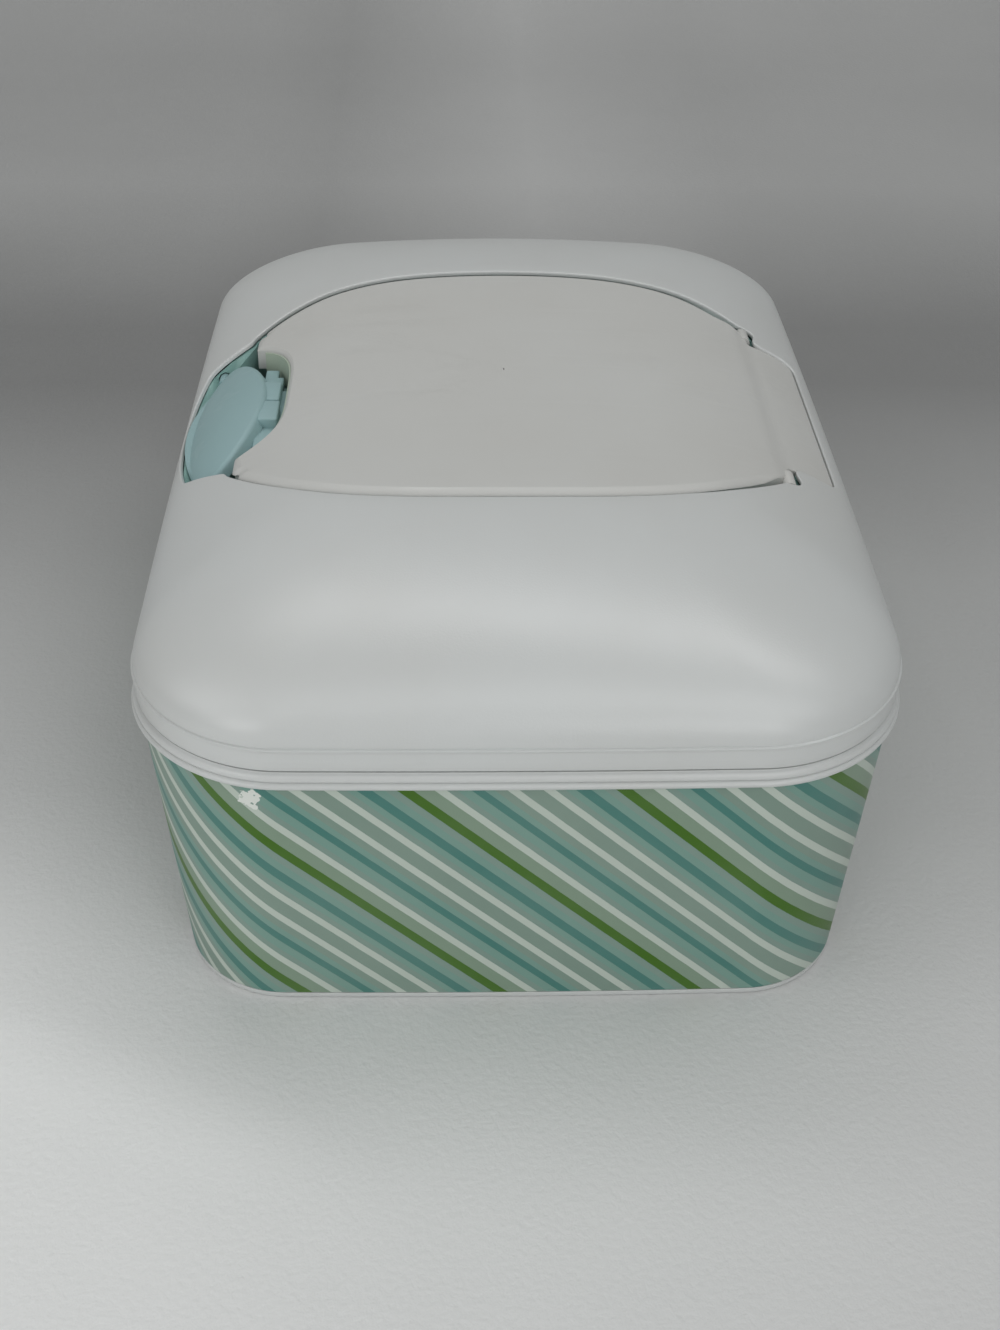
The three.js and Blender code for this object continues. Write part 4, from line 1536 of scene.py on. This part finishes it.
    def build_sleeve(self) -> None:
        """Makes the printed sleeve."""
        low, high, thick = self.sleeve_low, self.sleeve_high, self.sleeve_thickness
        outer = [self.wall_ring(z) for z in np.linspace(low, high, self.sleeve_rows)]
        skin = RowSkin(outer[0]).grow(*outer[1:])
        mesh = skin.grow(self.wall_ring(high, thick), self.wall_ring(low, thick), outer[0]).mesh
        bmesh.ops.remove_doubles(mesh, verts=list(mesh.verts), dist=MERGED)
        self.map_sheet(mesh)
        finished(
            "striped_sleeve", mesh, Body.TUB, StripeFinish().build(),
            ["label_sleeve"],
        )

    def build(self) -> None:
        """Makes the tub and its sleeve."""
        self.build_shell()
        self.build_sleeve()


@dataclass
class LidAssembly:
    """Domed lid with its opening, raised line, skirt and plug wall, its posts and its seal."""

    palette: Palette
    wall: float = 1.6
    edge_round: float = 0.5
    rear_round: float = 1.0
    edge_skin: float = 0.9
    rear_start: float = 3.0
    rear_blend: float = 3.0
    deepest: float = 9.0
    cut_floor: float = 66.6
    plug_swing: float = 0.3313
    skirt_low: float = 59.5
    foot_inset: float = 1.05
    plug_low: float = 60.2
    channel_roof: float = 64.7
    post_radius: float = 1.3
    head_radius: float = 2.3
    head_height: float = 1.0
    post_out: float = 3.25
    post_sides: int = 24
    post_shares: tuple[float, float, float] = (-0.41, 0.41, 0.8)
    frame_flange: float = 1.5
    frame_gap: float = 0.9
    seal_inset: float = 2.4
    seal_columns: int = 320
    seal_profile: tuple[tuple[float, float], ...] = (
        (2.7, 62.9), (2.4, 63.2), (2.4, 64.1), (2.7, 64.4),
        (3.1, 64.4), (3.4, 64.1), (3.4, 63.2), (3.1, 62.9),
    )
    outer_rows: int = 30
    inner_rows: int = 10

    def ring(self, shares: Row, inset: float, z: float) -> Row:
        """Level row at an inset from the container's largest outline."""
        return at_height(LARGEST.inset(inset).points(shares), z)

    def opening_edge(self) -> tuple[list[Row], Row, Row, Row]:
        """Rows from the dome over the rounded edge down to the lid's inner face.

        Returns:
            The rows, then the swings and shares of the edge on the dome, and the last row.
        """
        edge, beside = COVER.opening(COVER.gap)
        under, _ = COVER.opening(COVER.cut_grow)
        swing = DOME.swings(edge)
        shares = DOME.plan(swing).shares_of(edge)
        corner = DOME.surface(swing, shares)
        back = np.maximum(swing - 0.01, 0.0)
        pace = np.linalg.norm(corner - DOME.surface(back, shares), axis=1) / (swing - back + 1e-9)
        past_hinge = edge[:, 1] - COVER.hinge_y - self.rear_start
        rear = np.clip(past_hinge / self.rear_blend, 0.0, 1.0)
        rounding = self.edge_round + (self.rear_round - self.edge_round) * rear
        start_swing = np.maximum(swing - rounding / np.maximum(pace, 1.0), swing * 0.35)
        start = DOME.surface(start_swing, shares)
        # Beside the button the wall runs down square to the pocket's tilted plane.
        tilt = POCKET.tilt
        upright = 1 - beside * (1 - math.cos(tilt))
        down = np.column_stack([np.zeros(len(beside)), beside * math.sin(tilt), -upright])
        skin = np.maximum(self.edge_skin, rounding + 0.1)
        set_back = DOME.over(under)

        def outside_wall(depth: Row) -> Row:
            """Whether places at a depth lie above the lid's inner face."""
            place = set_back + down * depth[:, None]
            inner_face = DOME.heights(place[:, :2], self.wall)
            return place[:, 2] > np.maximum(inner_face, self.cut_floor)

        deepest = np.full(len(edge), self.deepest)
        depth = last_within(outside_wall, np.zeros(len(edge)), deepest)[1]
        inner = set_back + down * depth[:, None]
        rows = bent(start, corner, corner + down * rounding[:, None], 5)
        rows.append(corner + down * skin[:, None])
        rows += [set_back + down * np.minimum(skin, depth * 0.9)[:, None], inner]
        return rows, start_swing, shares, inner

    def skirt_profile(self) -> tuple[tuple[float, float], ...]:
        """Insets and heights from the plug wall, round the channel and skirt, to the dome.

        Returns:
            Inset and height of each row.
        """
        plug, roof, skirt = self.plug_low, self.channel_roof, self.skirt_low
        line = DOME.base_z - 0.8
        return (
            (4.7, plug + 0.3), (4.4, plug), (4.0, plug), (3.7, plug + 0.3),
            (3.7, roof), (2.1, roof),
            (2.1, skirt + 0.25), (1.85, skirt), (1.25, skirt), (1.0, skirt + 0.1),
            (0.9, skirt + 0.35), (1.0, skirt + 2.2),
            (self.foot_inset, line - 0.1), (0.95, line + 0.02), (0.72, line + 0.18),
            (0.65, line + 0.4), (0.72, line + 0.62), (0.95, line + 0.76),
            (self.foot_inset, DOME.base_z - 0.02),
        )

    def build_dome(self) -> None:
        """Makes the lid."""
        edge_rows, swing, shares, inner = self.opening_edge()
        outer = [
            DOME.surface(swing * share, shares) for share in np.linspace(0, 1, self.outer_rows)
        ]
        profile = [self.ring(shares, inset, z) for inset, z in self.skirt_profile()]
        skin = RowSkin(profile[-1]).grow(*outer[1:], *edge_rows)
        inner_swing = DOME.swings(inner[:, :2], self.wall)
        inner_shares = DOME.plan(inner_swing, self.wall).shares_of(inner[:, :2])
        plug_top = DOME.surface(self.plug_swing, inner_shares, self.wall)
        # Where the opening cuts down to the plug wall, the rows run straight to its top.
        cut_deep = (inner_swing < self.plug_swing + 0.06)[:, None]
        level_top = np.column_stack([plug_top[:, :2], np.minimum(plug_top[:, 2], inner[:, 2])])
        for share in np.linspace(0, 1, self.inner_rows + 1)[1:]:
            turned = inner_swing + (self.plug_swing - inner_swing) * share
            curved = DOME.surface(turned, inner_shares, self.wall)
            straight = inner + (level_top - inner) * share
            skin.grow(np.where(cut_deep, straight, curved))
        skin.grow(*profile)
        finished(
            "lid_dome", skin.mesh, Body.LID, self.palette.white.build(), ["lid_shell"]
        )

    def build_posts(self) -> None:
        """Makes the six posts whose spread heads hold the dispenser frame."""
        along = COVER.front * np.array(self.post_shares)
        out = COVER.half_at(along) + COVER.lip_grow + self.post_out
        places = [(side * x, y) for side in (-1, 1) for x, y in zip(out, along)]
        for number, (x, y) in enumerate(places, start=1):
            under = DOME.heights(np.array([[x, y]]))[0] - self.wall
            head = under - self.frame_gap - self.frame_flange
            rows = [
                circle_row(radius, self.post_sides, z, x, y)
                for radius, z in (
                    (self.post_radius, under + 0.5),
                    (self.post_radius, head),
                    (self.head_radius * 0.93, head - 0.05),
                    (self.head_radius, head - 0.3),
                    (self.head_radius * 0.9, head - 0.75),
                    (self.head_radius * 0.5, head - self.head_height),
                )
            ]
            skin = RowSkin(rows[0]).grow(*rows[1:]).cap()
            finished(
                f"lid_post_{number}", skin.mesh, Body.LID, self.palette.white.build()
            )

    def build_seal(self) -> None:
        """Makes the soft ring in the lid's channel."""
        shares = LARGEST.inset(self.seal_inset).even_shares(self.seal_columns)
        rows = [self.ring(shares, inset, z) for inset, z in self.seal_profile]
        skin = RowSkin(rows[0]).grow(*rows[1:], rows[0])
        finished(
            "lid_gasket", skin.mesh, Body.LID, self.palette.rubber.build(),
            ["lid_seal"], sharp=80.0,
        )

    def build(self) -> None:
        """Makes the lid, its posts and its seal."""
        self.build_dome()
        self.build_posts()
        self.build_seal()


def block(low: Sequence[float], high: Sequence[float], round_off: float) -> bmesh.types.BMesh:
    """Box between two corners with rounded edges.

    Args:
        low: The corner with the lowest X, Y and Z.
        high: The opposite corner.
        round_off: Width of the rounding.

    Returns:
        The box.
    """
    mesh = bmesh.new()
    bmesh.ops.create_cube(mesh, size=1.0)
    middle = [(first + second) / 2 for first, second in zip(low, high)]
    reach = [second - first for first, second in zip(low, high)]
    bmesh.ops.scale(mesh, vec=reach, verts=list(mesh.verts))
    bmesh.ops.translate(mesh, vec=middle, verts=list(mesh.verts))
    bmesh.ops.bevel(
        mesh, geom=list(mesh.edges), offset=round_off, segments=3, profile=0.5,
        affect="EDGES", material=-1,
    )
    return mesh


def bar_along_x(radius: float, start: float, end: float, y: float, z: float) -> bmesh.types.BMesh:
    """Round bar along X whose far end has a rounded edge.

    Args:
        radius: Radius of the bar.
        start: X of its root.
        end: X of its rounded end.
        y: Y of its axis.
        z: Z of its axis.

    Returns:
        The bar.
    """
    rounding, sides = 0.35, 32
    turn = np.linspace(0, math.tau, sides, endpoint=False)
    lead = rounding * (1 if end > start else -1)

    def row(size: float, x: float) -> Row:
        """Upright ring of the bar."""
        return np.column_stack([np.full(sides, x), arc(y, z, size, turn)])

    skin = RowSkin(row(radius, start)).grow(row(radius, end - lead))
    skin.grow(row(radius - 0.1, end - 0.3 * lead), row(radius - rounding, end))
    return skin.cap().mesh


@dataclass
class CoverAssembly:
    """Hinged cover with its notch, rolled edge, rim, crease and tail, and its inner plate."""

    palette: Palette
    edge_round: float = 1.8
    edge_drop: float = 0.9
    notch_round: float = 0.7
    rear_round: float = 0.3
    undercut: float = 0.5
    rim_depth: float = 5.0
    rim_wall: float = 1.4
    wall: float = 1.6
    corner_in: float = 0.12
    corner_down: float = 0.55
    notch_width_share: float = 1.05
    rear_start: float = -4.0
    blend: int = 12
    tail_recess: float = 0.55
    crease_half_width: float = 2.6
    crease_depth: float = 0.22
    columns: int = 640
    rings: int = 64
    crowding: float = 1.7
    stub_radius: float = 1.4
    stub_root: float = -0.7
    stub_tip: float = 4.1
    liner: RoundedPlan = RoundedPlan(41.0, 36.0, 16.0)
    liner_low: float = 77.0
    liner_plate: float = 1.2
    liner_rim: float = 1.2
    liner_fillet: float = 0.6
    liner_room: float = 0.35
    liner_columns: int = 240
    catch_half_length: float = 14.0
    catch_front: float = -42.6
    catch_back: float = -34.6
    catch_low: float = 68.9
    catch_wall: float = 1.4
    nose_tip: float = -44.6
    nose_width: float = 4.4
    tongue_half: float = 8.5
    tongue_room: float = 0.4
    lining_end: float = 0.93
    lining_out: tuple[float, float] = (0.05, 0.35)
    lining_drops: tuple[float, float, float] = (1.0, 4.9, 7.5)

    def top(self, places: Row) -> Row:
        """Heights of the cover's outside, less the crease and the tail's step.

        Args:
            places: X and Y of the places.

        Returns:
            The heights.
        """
        off = (places[:, 1] - COVER.hinge_y) / self.crease_half_width
        step = np.clip(off / 2 + 0.5, 0, 1)
        dip = self.crease_depth * np.maximum(1 - off**2, 0) ** 2
        return DOME.heights(places) - self.tail_recess * step**2 * (3 - 2 * step) - dip

    def lifted(self, flat: Row, drop: float | Row = 0.0) -> Row:
        """Row of the cover's outside over flat places, less a drop."""
        return np.column_stack([flat, self.top(flat) - drop])

    @staticmethod
    def blended(share: Row, usual: float, beside_notch: float, at_rear: float) -> Row:
        """Value round the edge, from shares that are one beside the notch and at the rear."""
        notched, rear = share
        return usual + (beside_notch - usual) * notched + (at_rear - usual) * rear

    def build_skin(self) -> None:
        """Makes the cover's skin."""
        edge = COVER.panel(self.columns)
        off_notch = np.hypot(edge[:, 0] / self.notch_width_share, edge[:, 1] + COVER.front)
        share = np.stack([
            eased(chosen.astype(float), self.blend)
            for chosen in (
                off_notch < COVER.notch_half_length,
                edge[:, 1] > COVER.hinge_y + self.rear_start,
            )
        ])
        edge_round = self.blended(share, self.edge_round, self.notch_round, self.rear_round)
        edge_drop = self.blended(share, self.edge_drop, self.notch_round, self.rear_round)
        undercut = self.blended(share, self.undercut, 0.0, 0.0)
        inward = moved_out(edge, -1.0) - edge
        tucked = edge + inward * undercut[:, None]
        inner_edge = edge + inward * edge_round[:, None]
        rim_inner = moved_out(edge, -self.rim_wall)
        on_tail = edge[:, 1] > COVER.rear - 0.1
        on_tail &= np.abs(edge[:, 0]) < COVER.tail_half_length + 1.2
        depth = eased(np.where(on_tail, self.wall, self.rim_depth), 2)
        outside = self.faced(inner_edge)
        corner = self.lifted(
            edge + (inner_edge - edge) * self.corner_in, edge_drop * self.corner_down
        )
        skin = RowSkin(outside[0]).grow(*outside[1:])
        skin.grow(*bent(outside[-1], corner, self.lifted(edge, edge_drop), 7))
        skin.grow(self.lifted(tucked, edge_drop + undercut), self.lifted(tucked, depth - 0.3))
        skin.grow(*bent(
            self.lifted(tucked, depth - 0.3),
            self.lifted(tucked, depth),
            self.lifted(moved_out(tucked, -0.3), depth), 2))
        skin.grow(self.lifted(rim_inner, depth), *self.faced(rim_inner, self.wall)[::-1])
        finished(
            "cover_skin", skin.cap().mesh, Body.COVER, self.palette.cover_white.build(),
            ["flip_cover"],
        )

    def build_stubs(self) -> None:
        """Makes the two stubs on which the cover turns."""
        root, tip = (COVER.end_half_length + past for past in (self.stub_root, self.stub_tip))
        for side, word in ((1, "right"), (-1, "left")):
            stub = bar_along_x(
                self.stub_radius, side * root, side * tip, COVER.hinge_y, COVER.hinge_z
            )
            finished(
                "hinge_stub_" + word, stub, Body.COVER, self.palette.cover_white.build(),
            )

    def faced(self, outline: Row, drop: float = 0.0) -> list[Row]:
        """Rings of the cover's outside within an outline, less a drop."""
        rings = rings_within(outline, (0.0, 0.0), self.rings, self.crowding)
        return [self.lifted(flat, drop) for flat in rings]

    def build_dish(self) -> None:
        """Makes the inner plate's dish."""
        shares = self.liner.even_shares(self.liner_columns)
        low, high = self.liner_low, self.liner_low + self.liner_plate
        rim, fillet = self.liner_rim, self.liner_fillet

        def ring(inward: float, z: float) -> Row:
            """Level ring of the dish."""
            return at_height(self.liner.inset(inward).points(shares), z)

        def top_ring(inward: float) -> Row:
            """Ring at the height of the dish's rim, just under the cover."""
            flat = self.liner.inset(inward).points(shares)
            height = DOME.heights(flat) - self.wall - self.liner_room
            return np.column_stack([flat, height])

        to_middle = np.array([INNERMOST, INNERMOST, 1.0])
        skin = RowSkin(ring(rim, low) * to_middle).grow(ring(rim, low))
        skin.grow(*bent(ring(rim, low), ring(0, low), ring(0, high), 5))
        skin.grow(top_ring(0.0), top_ring(rim), ring(rim, high + fillet))
        skin.grow(*bent(ring(rim, high + fillet), ring(rim, high), ring(rim + fillet, high), 3))
        skin.grow(ring(rim + fillet, high) * to_middle)
        finished(
            "liner_dish", skin.cap().mesh, Body.COVER, self.palette.natural.build(),
            ["cover_liner"],
        )

    def build_catch(self) -> None:
        """Makes the catch at the front of the inner plate."""
        half, front, low = self.catch_half_length, self.catch_front, self.catch_low
        high, inside = self.liner_low + self.liner_plate, half - self.nose_width
        behind, above = front + self.catch_wall, low + self.catch_wall
        blocks = {
            "catch_arm": ((-half, front, self.liner_low), (half, self.catch_back, high)),
            "catch_plate": ((-half, front, low), (half, behind, high)),
            "catch_nose_right": ((inside, self.nose_tip, low), (half, behind, above)),
            "catch_nose_left": ((-half, self.nose_tip, low), (-inside, behind, above)),
        }
        for name, (start, end) in blocks.items():
            mesh = block(start, end, 0.25)
            finished(name, mesh, Body.COVER, self.palette.natural.build())

    def build_notch_lining(self) -> None:
        """Makes the lip of the inner plate that lines the notch's wall."""
        share = np.linspace(-self.lining_end, self.lining_end, 80)
        inside, outside = (COVER.notch(share, out) for out in self.lining_out)
        loop = np.concatenate([inside, outside[::-1]])
        high, low, lowest = self.lining_drops
        # Over the button's tongue the lip stays clear of it, and beside it the lip reaches lower.
        past_tongue = np.abs(loop[:, 0]) - self.tongue_half - self.tongue_room
        deep = low + (lowest - low) * np.clip(past_tongue / self.tongue_room, 0.0, 1.0)
        skin = RowSkin(self.lifted(loop, high)).grow(self.lifted(loop, deep)).cap()
        material = self.palette.natural.build()
        finished("liner_notch_lip", skin.mesh, Body.COVER, material)

    def build(self) -> None:
        """Makes the cover."""
        self.build_skin()
        self.build_stubs()
        self.build_dish()
        self.build_catch()
        self.build_notch_lining()


@dataclass
class ButtonAssembly:
    """Release button: a crowned face with a rolled edge, a tongue and two pivots."""

    palette: Palette
    form: ButtonForm = BUTTON
    crown: tuple[float, float, float] = (36.0, 14.0, 8.0)
    shift: float = 1.0
    wall: float = 1.7
    rim_wall: float = 1.4
    rim_depth: float = 4.2
    lowest: float = 68.6
    edge_round: float = 0.9
    columns: int = 400
    rings: int = 30
    crowding: float = 1.6
    blend: int = 12
    face_gap: float = 0.3
    tongue_drop: float = 5.3
    tongue_wall: float = 1.6
    tongue_half_length: float = 8.5
    tongue_y: tuple[float, float] = (-51.4, -43.2)
    pivot: tuple[float, float] = (-61.0, 69.816)
    pivot_x: tuple[float, float] = (21.1, 25.1)
    pivot_radius: float = 1.1

    def over(self, flat: Row, sink: float = 0.0) -> Row:
        """Row on the crown, or on the crown sunk by a depth, in the tilted plane.

        Args:
            flat: X and Y of the places in the plane.
            sink: The depth.

        Returns:
            The places with their heights over the plane.
        """
        long, wide, high = self.crown
        inside = 1 - (flat[:, 0] / long) ** 2 - ((flat[:, 1] + self.shift) / wide) ** 2
        rise = high * np.sqrt(np.maximum(inside, 0.02)) - high - sink
        floor = self.floor_at(flat) + (0.0 if sink else self.face_gap)
        return np.column_stack([flat, np.maximum(rise, floor)])

    def floor_at(self, flat: Row) -> Row:
        """Heights over the tilted plane at which the pocket's floor would be met."""
        cos, sin = math.cos(self.form.tilt), math.sin(self.form.tilt)
        zero = DOME.heights(np.array([[0.0, self.form.y]]))[0]
        return (self.lowest - zero - flat[:, 1] * sin) / cos

    def faced(self, outline: Row, sink: float = 0.0) -> list[Row]:
        """Rings of the crown within an outline, sunk by a depth."""
        rings = rings_within(outline, (0.0, -self.shift), self.rings, self.crowding)
        return [self.over(flat, sink) for flat in rings]

    def build_face(self) -> None:
        """Makes the face and its rim."""
        edge = eased(evenly(self.form.outline(), self.columns), self.blend)
        rim_inner = moved_out(edge, -self.rim_wall)
        outside = self.faced(moved_out(edge, -self.edge_round))
        inside = self.faced(rim_inner, self.wall)[::-1]
        corner = self.over(edge)
        low = np.maximum(-self.rim_depth, self.floor_at(edge))
        low = np.minimum(low, corner[:, 2] - self.face_gap)
        side = np.maximum(corner[:, 2] - self.edge_round, low + self.face_gap / 2)
        rim_low = np.minimum(low, inside[0][:, 2])
        rows = outside + bent(outside[-1], corner, np.column_stack([edge, side]), 5)
        rows += [np.column_stack([edge, low]), np.column_stack([rim_inner, rim_low])] + inside
        placed = [self.form.out_of_plane(row) for row in rows]
        skin = RowSkin(placed[0]).grow(*placed[1:]).cap()
        finished(
            "button_face", skin.mesh, Body.BUTTON, self.palette.button_teal.build(),
            ["release_button"],
        )

    def blocks(self) -> dict[str, tuple[Place, Place, float]]:
        """Low corner, high corner and edge rounding of each block behind the face.

        Returns:
            The sizes, by the name of the piece.
        """
        notch_y = COVER.notch_depth - COVER.front
        top = DOME.heights(np.array([[0.0, notch_y]]))[0] - self.tongue_drop
        half, (front, back), wall = self.tongue_half_length, self.tongue_y, self.tongue_wall
        return {
            "button_tongue": ((-half, front, top - wall), (half, back, top), 0.3),
            "button_web": ((-half, front, top - wall), (half, front + wall, top + wall), 0.2),
            "button_shelf": ((-14.0, front + 0.4, top - 1.2), (14.0, -47.0, top + 0.4), 0.35),
            "button_wing": ((-17.5, front + 0.4, top - 1.3), (17.5, -48.2, top + 0.3), 0.35),
            "button_tab_left": (
                (-half, front + 0.7, top - 0.5), (-0.5, -46.9, top + 2.2), 0.35
            ),
            "button_tab_right": (
                (0.5, front + 0.9, top - 0.5), (half, -46.6, top + 2.5), 0.35
            ),
        }

    def build(self) -> None:
        """Makes the button."""
        self.build_face()
        meshes = {name: block(*sizes) for name, sizes in self.blocks().items()}
        for side, word in ((1, "right"), (-1, "left")):
            root, tip = (side * x for x in self.pivot_x)
            meshes["button_pivot_" + word] = bar_along_x(self.pivot_radius, root, tip, *self.pivot)
        for name, mesh in meshes.items():
            finished(name, mesh, Body.BUTTON, self.palette.button_teal.build())


@dataclass(frozen=True)
class CarriedPart:
    """Plain solid that is shown as it is, with its corners merged and its shading set."""

    node: str
    body: Body
    slot: str
    finish: PlasticFinish
    sharp: float = 30.0

    def build(self) -> bpy.types.Object:
        """Makes a merged copy of the solid.

        Returns:
            The copy.
        """
        source = bpy.data.objects[self.node]
        mesh = bmesh.new()
        mesh.from_mesh(source.data)
        bmesh.ops.transform(mesh, matrix=source.matrix_world, verts=list(mesh.verts))
        bmesh.ops.scale(mesh, vec=(1 / MM, 1 / MM, 1 / MM), verts=list(mesh.verts))
        bmesh.ops.remove_doubles(mesh, verts=list(mesh.verts), dist=SOLID_MERGED)
        return finished(
            self.node + "_shown", mesh, self.body, self.finish.build(), [self.node],
            self.sharp,
        )


# ---------------------------------------------------------------- the room


@dataclass(frozen=True)
class Lamp:
    """Soft lamp that faces the container."""

    name: str
    place: Place
    side: float
    power: float
    stretch: float = 1.0
    towards: Place = (0, 0, 0.05)

    def build(self) -> None:
        """Makes the lamp and turns it to the container."""
        light = bpy.data.lights.new(self.name, "AREA")
        light.shape = "RECTANGLE"
        light.size = self.side * self.stretch
        light.size_y = self.side
        light.energy = self.power
        lamp = bpy.data.objects.new(self.name, light)
        bpy.context.scene.collection.objects.link(lamp)
        lamp.location = self.place
        facing = Vector(self.towards) - Vector(self.place)
        lamp.rotation_euler = facing.to_track_quat("-Z", "Y").to_euler()


@dataclass(frozen=True)
class Room:
    """Pale floor that rises into a backdrop, soft lamps, even sky and the camera."""

    lamps: tuple[Lamp, ...] = (
        Lamp("window", (0.35, -1.0, 0.85), 0.8, 2.5),
        Lamp("low_window", (1.1, -0.8, 0.42), 0.6, 2.9),
        Lamp("front_fill", (0.8, 0.6, 0.9), 0.8, 2.4),
        Lamp("low_front", (1.2, 0.35, 0.3), 0.6, 2.3),
        Lamp("near_lamp", (0.7, -0.05, 0.9), 0.7, 1.2),
        Lamp("overhead", (-0.28, 0.14, 1.15), 0.24, 4.7, 6.5),
    )
    sky: Colour = (0.85, 0.87, 0.88)
    sky_level: float = 0.12
    far_wall_level: float = 0.4
    floor_reach: float = 1.6
    wall_place: float = -0.5
    bend: float = 0.2
    wall_height: float = 1.4
    half_width: float = 2.2
    camera_place: Place = (310.661, -11.189, 238.317)
    camera_right: Place = (0.02416993, 0.9996288, 0.01257297)
    camera_up: Place = (-0.5923746, 0.00418977, 0.80565177)
    lens: float = 45.63
    sensor: float = 36.0

    def profile(self, along: float) -> tuple[float, float]:
        """X and Z of the sheet at a distance from its near edge.

        Args:
            along: The distance in metres.

        Returns:
            X and Z.
        """
        flat, curved = self.floor_reach - self.wall_place, self.bend * QUARTER
        if along < flat:
            return self.floor_reach - along, 0.0
        if along >= flat + curved:
            return self.wall_place - self.bend, self.bend + along - flat - curved
        turn = (along - flat) / self.bend
        return self.wall_place - self.bend * math.sin(turn), self.bend * (1 - math.cos(turn))

    def build_sheet(self) -> None:
        """Makes the floor and the backdrop as one sheet."""
        mesh = bmesh.new()
        bmesh.ops.create_grid(mesh, x_segments=80, y_segments=8, size=1.0)
        length = self.floor_reach - self.wall_place + self.bend * QUARTER + self.wall_height
        for vert in mesh.verts:
            x, z = self.profile((vert.co.x + 1) / 2 * length)
            vert.co = (x, vert.co.y * self.half_width, z)
        for face in mesh.faces:
            face.smooth = True
        data = bpy.data.meshes.new("sheet")
        mesh.to_mesh(data)
        mesh.free()
        data.materials.append(ClothFinish().build())
        sheet = bpy.data.objects.new("sheet", data)
        bpy.context.scene.collection.objects.link(sheet)

    def build_camera(self) -> None:
        """Makes the camera that matches the photograph's view."""
        data = bpy.data.cameras.new("photo_view")
        data.lens = self.lens
        data.sensor_width = self.sensor
        data.sensor_fit = "AUTO"
        data.clip_start = 0.01
        camera = bpy.data.objects.new("photo_view", data)
        bpy.context.scene.collection.objects.link(camera)
        right, up = Vector(self.camera_right), Vector(self.camera_up)
        turned = Matrix((right, up, right.cross(up))).transposed().to_4x4()
        camera.matrix_world = Matrix.Translation(Vector(self.camera_place) * MM) @ turned
        bpy.context.scene.camera = camera

    def build(self) -> None:
        """Makes the room."""
        self.build_sheet()
        self.build_camera()
        for lamp in self.lamps:
            lamp.build()
        world = bpy.data.worlds.new("even_sky")
        world.use_nodes = True
        sky = world.node_tree.nodes["Background"]
        graph = Graph(world.node_tree)
        seen = graph.node("ShaderNodeLightPath").outputs["Is Camera Ray"]
        level = graph.range(seen, 0.0, 1.0, self.sky_level, self.far_wall_level)
        graph.fill(sky, {"Color": (*self.sky, 1), "Strength": level})
        bpy.context.scene.world = world
        bpy.context.scene.view_settings.view_transform = "Standard"


def main() -> None:
    """Builds the container and the room."""
    logging.basicConfig(level=logging.INFO, format="%(message)s")
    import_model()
    palette = Palette()
    TubAssembly(palette).build()
    LidAssembly(palette).build()
    CoverAssembly(palette).build()
    ButtonAssembly(palette).build()
    carried = (
        CarriedPart("dispenser_frame", Body.LID, "frame_teal", palette.teal),
        CarriedPart("orifice_membrane", Body.LID, "soft_mouth", palette.rubber),
        CarriedPart("collar_seal", Body.LID, "soft_seal", palette.rubber),
        CarriedPart("button_spring", Body.LID, "spring_steel", palette.steel, 80.0),
    )
    shown = [part.build() for part in carried]
    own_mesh(shown[-1])
    Room().build()


if __name__ == "__main__":
    main()
